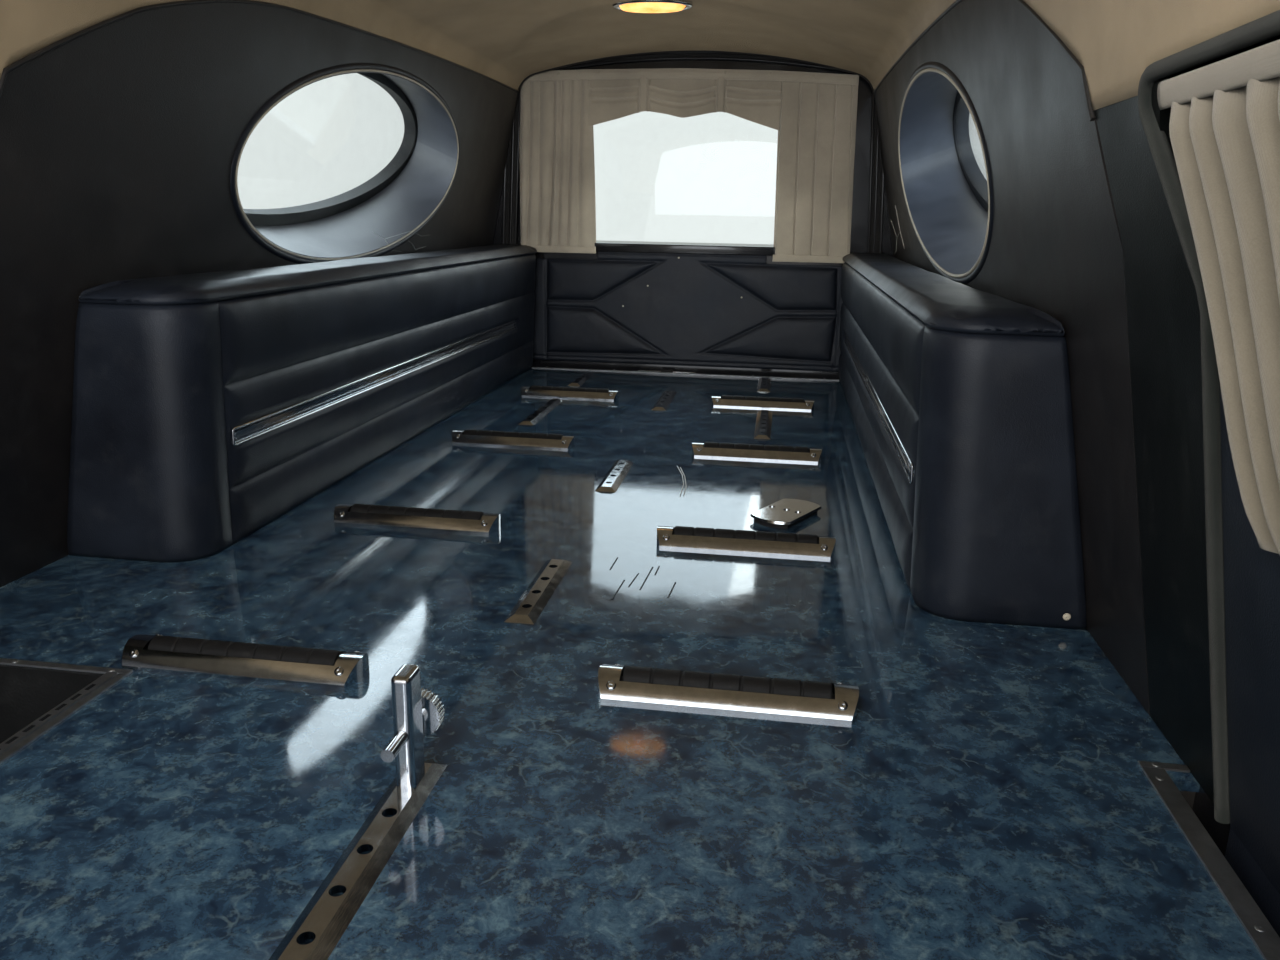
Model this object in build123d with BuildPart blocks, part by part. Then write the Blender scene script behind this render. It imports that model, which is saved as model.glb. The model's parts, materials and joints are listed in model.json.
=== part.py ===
from build123d import *
import os
from math import hypot

os.makedirs("parts", exist_ok=True)

# Casket compartment of a hearse: the rear body section with its deck, linings and doors.
# Sizes are in millimetres. X points to the vehicle's left, Y to its rear and Z up. The origin is
# midway along the section, on its centre line, under the chassis rails.
# A station is a distance behind the front cut. A rise is a height above the deck's top.

# Driving dimensions of the section
LENGTH = 3500           # front cut to the rear door's outer skin
DECK_TOP = 360          # deck top above the underside of the rails
WALL_FOOT = 720         # half width between the linings at the deck
WALL_LEAN = 0.2         # inward lean of the linings for each unit of height
CEILING_CROWN = 1345    # headliner's face on the centre line
LINING = 10             # boards, door trims and headliner
DOOR_GAP = 7            # gap round a closed door
SEAT = 0.3              # clearance of a piece in its seat

# Ceiling, as (x, z) of the headliner's face on the left side
CANT = CEILING_CROWN - 110      # height at which wall and ceiling meet
CANT_X = WALL_FOOT - WALL_LEAN * (CANT - DECK_TOP)
CEILING_BEND = (CANT_X - 23, CANT + 31)
CEILING_SHOULDER = (CANT_X - 57, CANT + 48)

# Body skin, as (x, z) on the left side
SILL = (WALL_FOOT + 165, 20)
BULGE = (WALL_FOOT + 222, 300)
SHOULDER = (WALL_FOOT + 210, 690)
ROLL = (WALL_FOOT + 182, 762)
BELT = (WALL_FOOT + 128, 795)
RAIL = (CANT_X + 160, CANT + 23)
ROOF_BEND = (CANT_X + 115, CANT + 87)
ROOF_SHOULDER = (CANT_X + 45, CANT + 123)
ROOF_CROWN = CEILING_CROWN + 80

# Rear door and its frame, as stations
FRAME_FRONT = LENGTH - 155
REAR_DOOR_FRONT = LENGTH - 120
REAR_HINGE_STATION = LENGTH + 12

# Chassis rails and bearers
RAIL_X = 360
RAIL_SIZE = (60, 130)
RAIL_WALL = 6
RAIL_END = FRAME_FRONT - 45
BOLT_REACH = 1100       # body bolts before and behind the origin
BOLT_RADIUS = 7
BEARER_THICKNESS = 30
BEARER_HOLE = (150, 110)

# Side doors: the hinge line, and the rear edge as distances from the hinge line
HINGE_X = SHOULDER[0] + 35
HINGE_STATION = 95
HINGE_RADIUS = 11
HINGE_PIN = 5
HINGE_LENGTH = 46
SIDE_HINGE_HEIGHTS = (230, 600)
DOOR_REACH = 930        # below the belt
DOOR_REACH_BELT = DOOR_REACH + 25
DOOR_REACH_TOP = DOOR_REACH + 158
DOOR_BELT_RISE = 450
DOOR_TOP_RISE = 620
DOOR_CORNER = 35
DOOR_SILL = 110
WINDOW_SILL = DOOR_BELT_RISE - 30
WINDOW_TOP = DOOR_TOP_RISE - 35
WINDOW_FRONT = HINGE_STATION + 80
WINDOW_REAR = DOOR_REACH - 50
WINDOW_RAKE = 60

# Bay between the door pillars and the rear frame: fittings stand at shares of its length
BAY_FRONT = HINGE_STATION + DOOR_REACH_TOP + 7
BAY = FRAME_FRONT - BAY_FRONT

# Deck: one board, cut out at its front corners
BOX_FOOT = WALL_FOOT - 210       # half width between the wheel boxes
DECK_THICKNESS = 20
CUT_OUT = HINGE_STATION + DOOR_REACH + 54   # rear end of the cut-outs
DECK_END = FRAME_FRONT - 15
CUT_OUT_LEFT = WALL_FOOT - 25
CUT_OUT_RIGHT = BOX_FOOT - 98
TRIM_THICKNESS = 2.5
TRIM_WIDTH = 20
WELL_TRIM = (12, 15, 24)    # slotted strip, groove and lip beside the well
REAR_TRIM = 10

# Step well in the right cut-out
WELL_FLOOR = 40
WELL_WALL = 5
WELL_OUTER = WALL_FOOT - 25

# Wheel boxes and arches
BOX_FRONT = BAY_FRONT + 220
BOX_END = FRAME_FRONT - 10
BOX_RISE = 373
BOX_INNER_LEAN = 0.04
BOX_CORNER = 60
LID_THICKNESS = 18
LID_OVERHANG = 6
CHANNEL_RISES = (BOX_RISE - 283, BOX_RISE - 124)
STRIP_RISE = (CHANNEL_RISES[0] + CHANNEL_RISES[1]) / 2
STRIP_SIZE = (BOX_END - BOX_FRONT - 325, 24, 6)
STRIP_FRONT = BOX_FRONT + 100
ARCH_STATION = BAY_FRONT + 0.47 * BAY
ARCH_HEIGHT = 50
ARCH_RADIUS = 400
ARCH_INNER = BOX_FOOT + 90
HOUSING_WALL = 5

# Oval side windows
OVAL_STATION = BAY_FRONT + 0.524 * BAY
OVAL_RISE = 595
OVAL_RADII = (0.253 * BAY, 192)
OVAL_TILT = 4.5
GLASS_STATION = OVAL_STATION + 40
GLASS_HEIGHT = DECK_TOP + OVAL_RISE + 63
GLASS_RADII = (OVAL_RADII[0] + 55, OVAL_RADII[1] - 8)
SLEEVE_WALL = 8
GLASS_THICKNESS = 5
GLASS_DEPTH = 30        # glass behind the skin
SURROUND_WIDTH = 22
SURROUND_PROUD = 4

# Rear doorway
DOORWAY_HALF = WALL_FOOT - 120
DOORWAY_TOP_HALF = DOORWAY_HALF - 25
DOORWAY_CROWN = CEILING_CROWN - DECK_TOP + 11
DOORWAY_SHOULDER = DOORWAY_CROWN - 51
DOORWAY_CORNER = 45
REAR_DOOR_TAPER = 10
REAR_HINGE_X = DOORWAY_HALF + 15
REAR_HINGE_HEIGHTS = (DOOR_SILL + 130, DOOR_SILL + 510, DOOR_SILL + 890)
REAR_WINDOW_HALF = DOORWAY_HALF - 130
REAR_WINDOW_SILL = 404
REAR_WINDOW_TOP = DOORWAY_SHOULDER - 85
SEAL_WIDTH = 12

# Rollers: side as +1 left or -1 right, and stations as shares of the bay
ROLLER_LENGTH = 225
ROLLER_RADIUS = 16
ROLLER_RISE = 11
ROLLER_RIBS = 7
ROLLER_GROOVE = 1.2
AXLE_RADIUS = 4
BEZEL_SIZE = (ROLLER_LENGTH + 55, 64)
BEZEL_EDGE = 4          # height of its upright edge
BEZEL_CROWN = 24        # height of its dome over the roller's middle
BEZEL_BOW = 8           # bow of its ends
ROLLER_X = BOX_FOOT - BEZEL_SIZE[0] / 2 - 98
ROLLERS = (
    # side name, sign, shares
    ("left", 1, (-0.020, 0.212, 0.490, 0.758)),
    ("right", -1, (-0.030, 0.217, 0.491, 0.766)),
)

# Pin plates: x, share of the bay at the middle, length
PLATE_WIDTH = 40
PLATE_HEIGHT = 7
PLATE_BEVEL = 57        # degrees from upright
PLATE_HOLE = 6.5
PLATE_PITCH = 50
PLATE_END = 40          # end of a plate to its first hole
PLATES = (
    (0, -0.202, 430),
    (0, 0.103, 230),
    (0, 0.387, 230),
    (0, 0.767, 280),
    (-296, 0.659, 330),
    (-298, 0.900, 230),
    (281, 0.648, 330),
    (270, 0.920, 230),
)
PIN_HEIGHT = 116

# Curtains of the rear window
VALANCE_HEAD = DOORWAY_SHOULDER - 1
VALANCE_DROP = 144
VALANCE_DEPTH = 14
DRAPES = (
    # left edge, right edge, foot rise, head rise
    (53 - DOORWAY_HALF, 300 - DOORWAY_HALF, REAR_WINDOW_SILL - 28, VALANCE_HEAD - 16),
    (DOORWAY_HALF - 340, DOORWAY_HALF - 103, REAR_WINDOW_SILL - 38, VALANCE_HEAD - 26),
)
DRAPE_FRONT = REAR_DOOR_FRONT - 26
DRAPE_DEPTH = 22
DRAPE_HEM = 28
PANEL_THICKNESS = 8
VALANCE_MIDDLE = (DRAPES[0][1] + DRAPES[1][0]) / 2
VALANCE_WIDTH = DRAPES[1][0] - DRAPES[0][1] - 2


def station(distance):
    """Y of a station."""
    return distance - LENGTH / 2


def rise(height):
    """Z of a height above the deck's top."""
    return DECK_TOP + height


def bay(share):
    """Station at a share of the bay's length."""
    return BAY_FRONT + share * BAY


def lining_x(z, outward=0):
    """Half width between the linings at a height, moved outward."""
    return WALL_FOOT + outward - WALL_LEAN * (z - DECK_TOP)


def across(distance):
    """Plane across the body at a station, with X to the vehicle's left."""
    return Plane.XZ.offset(-station(distance))


SLOPE = hypot(1, WALL_LEAN)
BACKING = LINING * SLOPE                     # horizontal thickness of a lining
WALL_INSIDE = WALL_FOOT + BACKING
SKIN_LEAN = (BELT[0] - RAIL[0]) / (RAIL[1] - BELT[1])
SKIN_SLOPE = hypot(1, SKIN_LEAN)
LINING_PLANE = Plane(
    origin=(WALL_FOOT, 0, DECK_TOP), x_dir=(0, 1, 0), z_dir=(1, 0, WALL_LEAN))
SKIN_PLANE = Plane(
    origin=(BELT[0], 0, BELT[1]), x_dir=(0, 1, 0), z_dir=(1, 0, SKIN_LEAN))
DECK_UNDER = DECK_TOP - DECK_THICKNESS
HINGE_Y = station(HINGE_STATION)


def save(name, part):
    part.label = name
    export_step(part, f"parts/{name}.step")


def both_sides(name, left):
    """Write a left piece and its mirror image as one node."""
    with BuildPart() as pair:
        add(left)
        mirror(about=Plane.YZ)
    save(name, pair.part)


def each_side(name, left):
    """Write a left piece and its mirror image as two nodes."""
    with BuildPart() as right:
        add(left)
        mirror(about=Plane.YZ, mode=Mode.REPLACE)
    save(name + "_left", left)
    save(name + "_right", right.part)


def side_section(inside):
    """Section of a body side from sill to roof rail, with its inner face at an outward offset."""
    with BuildSketch() as section:
        with BuildLine():
            ThreePointArc(SILL, BULGE, SHOULDER)
            ThreePointArc(SHOULDER, ROLL, BELT)
            Polyline(
                BELT,
                RAIL,
                (lining_x(CANT, inside), CANT),
                (WALL_FOOT + inside, DECK_TOP),
                (WALL_FOOT + inside, SILL[1]),
                SILL)
        make_face()
    return section.sketch


def door_sweep(gap):
    """Space of a left side door, turned about its hinge line so that its rear edge swings clear."""
    low = DOOR_SILL + gap
    high = rise(DOOR_TOP_RISE) - gap
    with BuildPart() as sweep:
        with BuildSketch(Plane(origin=(HINGE_X, HINGE_Y, 0), x_dir=(0, 1, 0), z_dir=(1, 0, 0))):
            with BuildLine():
                Polyline(
                    (0, low),
                    (DOOR_REACH - gap, low),
                    (DOOR_REACH_BELT - gap, rise(DOOR_BELT_RISE)),
                    (DOOR_REACH_TOP - gap, high),
                    (0, high),
                    (0, low))
            face = make_face()
            rear = face.vertices().filter_by(lambda v: v.X > DOOR_REACH - 2 * gap - 1)
            fillet(rear, DOOR_CORNER)
        revolve(axis=Axis((HINGE_X, HINGE_Y, 0), (0, 0, 1)), revolution_arc=90)
    return sweep.part


def oval(radii, centre, plane, grow=0):
    """Oval face on a leaning plane."""
    with BuildSketch(plane) as face:
        with Locations(centre):
            Ellipse(radii[0] + grow, radii[1] + grow, rotation=OVAL_TILT)
    return face.sketch


OVAL_CENTRE = (station(OVAL_STATION), OVAL_RISE * SLOPE)
GLASS_CENTRE = (station(GLASS_STATION), (GLASS_HEIGHT - BELT[1]) * SKIN_SLOPE)


def tunnel(grow=0):
    """Space of the left oval window, from the lining to the skin."""
    inner = LINING_PLANE.offset(-1)
    outer = SKIN_PLANE.offset(SURROUND_PROUD)
    with BuildPart() as space:
        add(oval(OVAL_RADII, OVAL_CENTRE, inner, grow))
        add(oval(GLASS_RADII, GLASS_CENTRE, outer, grow))
        loft()
    return space.part


def arch(grow=0):
    """Left wheel arch."""
    with BuildPart() as space:
        with BuildSketch(Plane.YZ.offset(ARCH_INNER - grow)):
            with Locations((station(ARCH_STATION), ARCH_HEIGHT)):
                Circle(ARCH_RADIUS + grow)
        extrude(amount=SHOULDER[0] + 60 - ARCH_INNER)
    return space.part


APERTURE = door_sweep(0)
TUNNEL = tunnel(SLEEVE_WALL + SEAT)
ARCH = arch(SEAT)


# Chassis rails: channels open outward, with four body bolt holes
with BuildPart() as rail:
    with BuildSketch(across(0)):
        with Locations((RAIL_X, RAIL_SIZE[1] / 2)):
            Rectangle(*RAIL_SIZE)
        with Locations((RAIL_X + RAIL_WALL, RAIL_SIZE[1] / 2)):
            Rectangle(RAIL_SIZE[0], RAIL_SIZE[1] - 2 * RAIL_WALL, mode=Mode.SUBTRACT)
    extrude(amount=-RAIL_END)
    with BuildSketch(Plane.XY):
        with Locations((RAIL_X, -BOLT_REACH), (RAIL_X, BOLT_REACH)):
            Circle(BOLT_RADIUS)
    extrude(amount=RAIL_WALL, mode=Mode.SUBTRACT)
both_sides("chassis_rails", rail.part)


# Cross bearers under the deck, each a plate with lightening holes
BEARERS = (
    # front station, left reach, right reach
    (0, CUT_OUT_LEFT - 10, CUT_OUT_RIGHT),
    (CUT_OUT / 2, CUT_OUT_LEFT - 10, CUT_OUT_RIGHT),
    (CUT_OUT + WELL_WALL + 1, WALL_INSIDE, WALL_INSIDE),
    (bay(0.1), WALL_INSIDE, WALL_INSIDE),
    (ARCH_STATION - ARCH_RADIUS - 40, WALL_INSIDE, WALL_INSIDE),
    (ARCH_STATION - BEARER_THICKNESS / 2, ARCH_INNER - 10, ARCH_INNER - 10),
    (ARCH_STATION + ARCH_RADIUS + 10, WALL_INSIDE, WALL_INSIDE),
    (bay(0.83), WALL_INSIDE, WALL_INSIDE),
    (DECK_END - BEARER_THICKNESS, WALL_INSIDE, WALL_INSIDE),
)
BEARER_FOOT = RAIL_SIZE[1]
with BuildPart() as bearers:
    for front, left_reach, right_reach in BEARERS:
        with BuildSketch(across(front)):
            middle = (BEARER_FOOT + DECK_UNDER) / 2
            with Locations(((left_reach - right_reach) / 2, middle)):
                Rectangle(left_reach + right_reach, DECK_UNDER - BEARER_FOOT)
            with Locations(*[(x * RAIL_X / 2, middle) for x in (-1, 0, 1)]):
                RectangleRounded(*BEARER_HOLE, BEARER_HOLE[1] / 2 - 1, mode=Mode.SUBTRACT)
        extrude(amount=-BEARER_THICKNESS)
save("cross_bearers", bearers.part)


# Deck board, with slots for the rollers and holes under the pin plates
def plate_holes(x, share, length):
    """Places of a pin plate's holes."""
    number = round((length - 2 * PLATE_END) / PLATE_PITCH) + 1
    first = station(bay(share)) - (number - 1) * PLATE_PITCH / 2
    return [(x, first + i * PLATE_PITCH) for i in range(number)]


with BuildPart() as deck:
    with BuildSketch(Plane.XY.offset(DECK_UNDER)):
        with BuildLine():
            Polyline(
                (-CUT_OUT_RIGHT, station(0)),
                (CUT_OUT_LEFT, station(0)),
                (CUT_OUT_LEFT, station(CUT_OUT)),
                (WALL_INSIDE, station(CUT_OUT)),
                (WALL_INSIDE, station(DECK_END)),
                (-WALL_INSIDE, station(DECK_END)),
                (-WALL_INSIDE, station(CUT_OUT)),
                (-CUT_OUT_RIGHT, station(CUT_OUT)),
                (-CUT_OUT_RIGHT, station(0)))
        make_face()
    extrude(amount=DECK_THICKNESS)
    for _, sign, shares in ROLLERS:
        with Locations(*[(sign * ROLLER_X, station(bay(share)), DECK_UNDER) for share in shares]):
            Box(
                ROLLER_LENGTH + 8, 2 * ROLLER_RADIUS + 8, DECK_THICKNESS,
                align=(Align.CENTER, Align.CENTER, Align.MIN), mode=Mode.SUBTRACT)
    add(ARCH, mode=Mode.SUBTRACT)
    add(mirror(ARCH, about=Plane.YZ, mode=Mode.PRIVATE), mode=Mode.SUBTRACT)
    for plate in PLATES:
        with Locations(*[(x, y, DECK_TOP) for x, y in plate_holes(*plate)]):
            Hole(PLATE_HOLE)
save("deck_panel", deck.part)


# Metal edgings of the cut-outs and of the deck's rear edge
EDGINGS = (
    # low x, high x, low station, high station
    (CUT_OUT_LEFT - TRIM_WIDTH, CUT_OUT_LEFT, 0, CUT_OUT - 1),
    (CUT_OUT_LEFT - TRIM_WIDTH, WALL_FOOT - 1, CUT_OUT, CUT_OUT + REAR_TRIM),
    (-CUT_OUT_RIGHT, WELL_TRIM[0] - CUT_OUT_RIGHT, 0, CUT_OUT - 1),
    (WELL_TRIM[1] - CUT_OUT_RIGHT, WELL_TRIM[2] - CUT_OUT_RIGHT, 0, CUT_OUT - 1),
    (1 - WALL_FOOT, WELL_TRIM[2] - CUT_OUT_RIGHT, CUT_OUT, CUT_OUT + REAR_TRIM),
    (4 - BOX_FOOT, BOX_FOOT - 4, DECK_END - 16, DECK_END),
)
with BuildPart() as edgings:
    for low_x, high_x, low_y, high_y in EDGINGS:
        with BuildSketch(Plane.XY.offset(DECK_TOP)):
            with Locations(((low_x + high_x) / 2, station((low_y + high_y) / 2))):
                Rectangle(high_x - low_x, high_y - low_y)
        extrude(amount=TRIM_THICKNESS)
save("deck_edgings", edgings.part)


# Step well: a sheet tray, low on its outer side
WELL_INNER = CUT_OUT_RIGHT + WELL_WALL
with BuildPart() as well:
    with BuildSketch(across(0)):
        with BuildLine():
            Polyline(
                (-WELL_OUTER, DOOR_SILL),
                (-WELL_OUTER, WELL_FLOOR),
                (-CUT_OUT_RIGHT - SEAT, WELL_FLOOR),
                (-CUT_OUT_RIGHT - SEAT, DECK_TOP),
                (-WELL_INNER, DECK_TOP),
                (-WELL_INNER, WELL_FLOOR + WELL_WALL),
                (-WELL_OUTER + WELL_WALL, WELL_FLOOR + WELL_WALL),
                (-WELL_OUTER + WELL_WALL, DOOR_SILL),
                (-WELL_OUTER, DOOR_SILL))
        make_face()
    extrude(amount=SEAT - CUT_OUT)
    with BuildSketch(across(CUT_OUT - SEAT - WELL_WALL)):
        with Locations((-(WELL_OUTER + CUT_OUT_RIGHT) / 2, (WELL_FLOOR + DECK_TOP) / 2)):
            Rectangle(WELL_OUTER - CUT_OUT_RIGHT - 1, DECK_TOP - WELL_FLOOR)
    extrude(amount=-WELL_WALL)
    with BuildSketch(across(0)):
        with Locations((-(WELL_OUTER + WALL_INSIDE) / 2, DOOR_SILL - WELL_WALL / 2)):
            Rectangle(WALL_INSIDE - WELL_OUTER, WELL_WALL)
    extrude(amount=SEAT - CUT_OUT)
save("step_well", well.part)


# Wheel boxes: upholstered casings, each with a padded lid
with BuildPart() as box:
    with BuildSketch(across(BOX_FRONT)):
        with BuildLine():
            Polyline(
                (BOX_FOOT, DECK_TOP),
                (WALL_FOOT, DECK_TOP),
                (lining_x(rise(BOX_RISE)), rise(BOX_RISE)),
                (BOX_FOOT - BOX_INNER_LEAN * BOX_RISE, rise(BOX_RISE)),
                (BOX_FOOT, DECK_TOP))
        make_face()
    extrude(amount=-(BOX_END - BOX_FRONT))
    corner = box.edges().filter_by(lambda e: abs(e.center().Y - station(BOX_FRONT)) < 1)
    fillet(corner.sort_by(Axis.X)[0], BOX_CORNER)
    for height in CHANNEL_RISES:
        with BuildSketch(across(BOX_FRONT + 90)):
            with Locations((BOX_FOOT - BOX_INNER_LEAN * height, rise(height))):
                Circle(5)
        extrude(amount=-(BOX_END - BOX_FRONT - 90), mode=Mode.SUBTRACT)
    add(ARCH, mode=Mode.SUBTRACT)
both_sides("wheel_boxes", box.part)

LID_INNER = BOX_FOOT - BOX_INNER_LEAN * BOX_RISE - LID_OVERHANG
LID_OUTER = lining_x(rise(BOX_RISE + LID_THICKNESS)) - SEAT
with BuildPart() as lid:
    with BuildSketch(Plane.XY.offset(rise(BOX_RISE))):
        with Locations(((LID_INNER + LID_OUTER) / 2, station((BOX_FRONT - LID_OVERHANG + BOX_END) / 2))):
            Rectangle(LID_OUTER - LID_INNER, BOX_END - BOX_FRONT + LID_OVERHANG)
    extrude(amount=LID_THICKNESS)
    inner_front = lid.edges().filter_by(Axis.Z).group_by(Axis.Y)[0].sort_by(Axis.X)[0]
    fillet(inner_front, BOX_CORNER + LID_OVERHANG)
    fillet(lid.edges().group_by(Axis.Z)[-1].sort_by(Axis.X)[:-1], LID_THICKNESS / 2 - 1)
both_sides("wheel_box_lids", lid.part)

STRIP_X = BOX_FOOT - BOX_INNER_LEAN * STRIP_RISE
STRIP_PLANE = Plane(
    origin=(STRIP_X, station(STRIP_FRONT + STRIP_SIZE[0] / 2), rise(STRIP_RISE)),
    x_dir=(0, -1, 0), z_dir=(-1, 0, -BOX_INNER_LEAN))
with BuildPart() as strip:
    with BuildSketch(STRIP_PLANE):
        SlotOverall(STRIP_SIZE[0], STRIP_SIZE[1])
    extrude(amount=STRIP_SIZE[2] / 2)
    with BuildSketch(STRIP_PLANE.offset(STRIP_SIZE[2] / 2)):
        with Locations((0, STRIP_SIZE[1] / 5), (0, -STRIP_SIZE[1] / 5)):
            SlotOverall(STRIP_SIZE[0] - 12, 6)
    extrude(amount=STRIP_SIZE[2] / 2, taper=20)
both_sides("box_strips", strip.part)

with BuildPart() as housing:
    add(arch())
    with BuildSketch(Plane.YZ.offset(ARCH_INNER + HOUSING_WALL)):
        with Locations((station(ARCH_STATION), ARCH_HEIGHT)):
            Circle(ARCH_RADIUS - HOUSING_WALL)
    extrude(amount=500, mode=Mode.SUBTRACT)
    with BuildSketch(Plane.YZ):
        with Locations((station(ARCH_STATION), (SILL[1] + ARCH_HEIGHT + ARCH_RADIUS + 20) / 2)):
            Rectangle(2 * ARCH_RADIUS + 20, ARCH_HEIGHT + ARCH_RADIUS + 20 - SILL[1])
    extrude(amount=SILL[0] + 20, mode=Mode.INTERSECT)
both_sides("wheel_housings", housing.part)


# Body sides, with the door opening, the wheel arch and the oval window
with BuildPart() as side:
    with BuildSketch(across(0)):
        add(side_section(BACKING))
    extrude(amount=-FRAME_FRONT)
    add(APERTURE, mode=Mode.SUBTRACT)
    add(TUNNEL, mode=Mode.SUBTRACT)
    add(ARCH, mode=Mode.SUBTRACT)
each_side("side_wall", side.part)


# Linings: the quarter board round the oval, and the pillar trim in front of it
BOARD_EDGE = (
    # distance behind the pillar, rise: ends and middles of the arcs, from the foot up
    (0, DOOR_TOP_RISE - 140),
    (50, DOOR_TOP_RISE - 45),
    (80, DOOR_TOP_RISE + 30),
    (180, DOOR_TOP_RISE + 80),
    (310, DOOR_TOP_RISE + 137),
    (500, DOOR_TOP_RISE + 185),
    (760, DOOR_TOP_RISE + 215),
    (1410, DOOR_TOP_RISE + 239),
    (BAY - 5, DOOR_TOP_RISE + 246),
)


def lining_point(distance, height):
    return (station(distance), height * SLOPE)


def board_edge():
    """Front edge and top of the quarter board, on the lining plane."""
    points = [lining_point(BAY_FRONT + distance, height) for distance, height in BOARD_EDGE]
    Line(lining_point(BAY_FRONT, 0), points[0])
    for i in range(0, len(points) - 1, 2):
        ThreePointArc(points[i], points[i + 1], points[i + 2])


with BuildPart() as board:
    with BuildSketch(LINING_PLANE):
        with BuildLine():
            board_edge()
            Polyline(
                lining_point(FRAME_FRONT - 5, BOARD_EDGE[-1][1]),
                lining_point(FRAME_FRONT - 5, 0),
                lining_point(BAY_FRONT, 0))
        make_face()
    extrude(amount=LINING)
    add(TUNNEL, mode=Mode.SUBTRACT)
    add(ARCH, mode=Mode.SUBTRACT)
both_sides("quarter_boards", board.part)

with BuildPart() as pillar:
    with BuildSketch(LINING_PLANE):
        with BuildLine():
            Polyline(
                lining_point(DOOR_REACH, 0),
                lining_point(BAY_FRONT - 2, 0),
                lining_point(BAY_FRONT - 2, DOOR_TOP_RISE - 140),
                lining_point(BAY_FRONT + 62, DOOR_TOP_RISE - 5),
                lining_point(DOOR_REACH, DOOR_TOP_RISE - 5),
                lining_point(DOOR_REACH, 0))
        make_face()
    extrude(amount=LINING)
    add(APERTURE, mode=Mode.SUBTRACT)
both_sides("pillar_trims", pillar.part)

with BuildPart() as sleeve:
    add(tunnel(SLEEVE_WALL))
    add(tunnel(0), mode=Mode.SUBTRACT)
    split(bisect_by=SKIN_PLANE.offset(-GLASS_DEPTH - GLASS_THICKNESS), keep=Keep.BOTTOM)
both_sides("oval_sleeves", sleeve.part)

with BuildPart() as pane:
    add(tunnel(SLEEVE_WALL - SEAT))
    split(bisect_by=SKIN_PLANE.offset(-GLASS_DEPTH - GLASS_THICKNESS + SEAT), keep=Keep.TOP)
    split(bisect_by=SKIN_PLANE.offset(-GLASS_DEPTH), keep=Keep.BOTTOM)
both_sides("oval_glass", pane.part)

with BuildPart() as surround:
    add(tunnel(SLEEVE_WALL))
    split(bisect_by=SKIN_PLANE.offset(-GLASS_DEPTH + SEAT), keep=Keep.TOP)
    with BuildSketch(SKIN_PLANE.offset(-2 * GLASS_DEPTH)):
        with Locations(GLASS_CENTRE):
            Ellipse(
                GLASS_RADII[0] - SURROUND_WIDTH, GLASS_RADII[1] - SURROUND_WIDTH, rotation=OVAL_TILT)
    extrude(amount=4 * GLASS_DEPTH, mode=Mode.SUBTRACT)
both_sides("oval_surrounds", surround.part)


# Roof and headliner
def ceiling_line(outward):
    """Line of the ceiling from the right wall to the left, moved outward."""
    cant = (lining_x(CANT, outward * SLOPE), CANT)
    bend = (CEILING_BEND[0] + 0.7 * outward, CEILING_BEND[1] + 0.7 * outward)
    shoulder = (CEILING_SHOULDER[0] + 0.5 * outward, CEILING_SHOULDER[1] + 0.86 * outward)
    ThreePointArc((-cant[0], cant[1]), (-bend[0], bend[1]), (-shoulder[0], shoulder[1]))
    ThreePointArc((-shoulder[0], shoulder[1]), (0, CEILING_CROWN + outward), shoulder)
    ThreePointArc(shoulder, bend, cant)


def roof_line():
    """Line of the roof skin from the left rail to the right."""
    ThreePointArc(RAIL, ROOF_BEND, ROOF_SHOULDER)
    ThreePointArc(ROOF_SHOULDER, (0, ROOF_CROWN), (-ROOF_SHOULDER[0], ROOF_SHOULDER[1]))
    ThreePointArc(
        (-ROOF_SHOULDER[0], ROOF_SHOULDER[1]), (-ROOF_BEND[0], ROOF_BEND[1]), (-RAIL[0], RAIL[1]))


CANT_OUTER = (lining_x(CANT, BACKING), CANT)
CANT_INNER = (CANT_X, CANT)
DROP_LOW = rise(DOOR_TOP_RISE)
with BuildPart() as roof:
    with BuildSketch(across(0)):
        with BuildLine():
            roof_line()
            Line((-RAIL[0], RAIL[1]), (-CANT_OUTER[0], CANT))
            ceiling_line(LINING)
            Line(CANT_OUTER, RAIL)
        make_face()
    extrude(amount=-FRAME_FRONT)
save("roof_shell", roof.part)

with BuildPart() as below_board:
    with BuildSketch(LINING_PLANE.offset(-20)):
        with BuildLine():
            board_edge()
            Polyline(
                lining_point(FRAME_FRONT - 5, BOARD_EDGE[-1][1]),
                lining_point(FRAME_FRONT + 50, BOARD_EDGE[-1][1]),
                lining_point(FRAME_FRONT + 50, 0),
                lining_point(BAY_FRONT, 0))
        make_face()
        offset(amount=1)
    extrude(amount=60)

with BuildPart() as headliner:
    with BuildSketch(across(0)):
        with BuildLine():
            ceiling_line(0)
            Polyline(
                CANT_INNER,
                (lining_x(DROP_LOW), DROP_LOW),
                (lining_x(DROP_LOW, BACKING), DROP_LOW),
                CANT_OUTER)
            ceiling_line(LINING)
            Polyline(
                (-CANT_OUTER[0], CANT),
                (-lining_x(DROP_LOW, BACKING), DROP_LOW),
                (-lining_x(DROP_LOW), DROP_LOW),
                (-CANT_INNER[0], CANT))
        make_face()
    extrude(amount=-(FRAME_FRONT - 5))
    for space in (below_board.part, APERTURE):
        add(space, mode=Mode.SUBTRACT)
        add(mirror(space, about=Plane.YZ, mode=Mode.PRIVATE), mode=Mode.SUBTRACT)
save("headliner", headliner.part)

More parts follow.
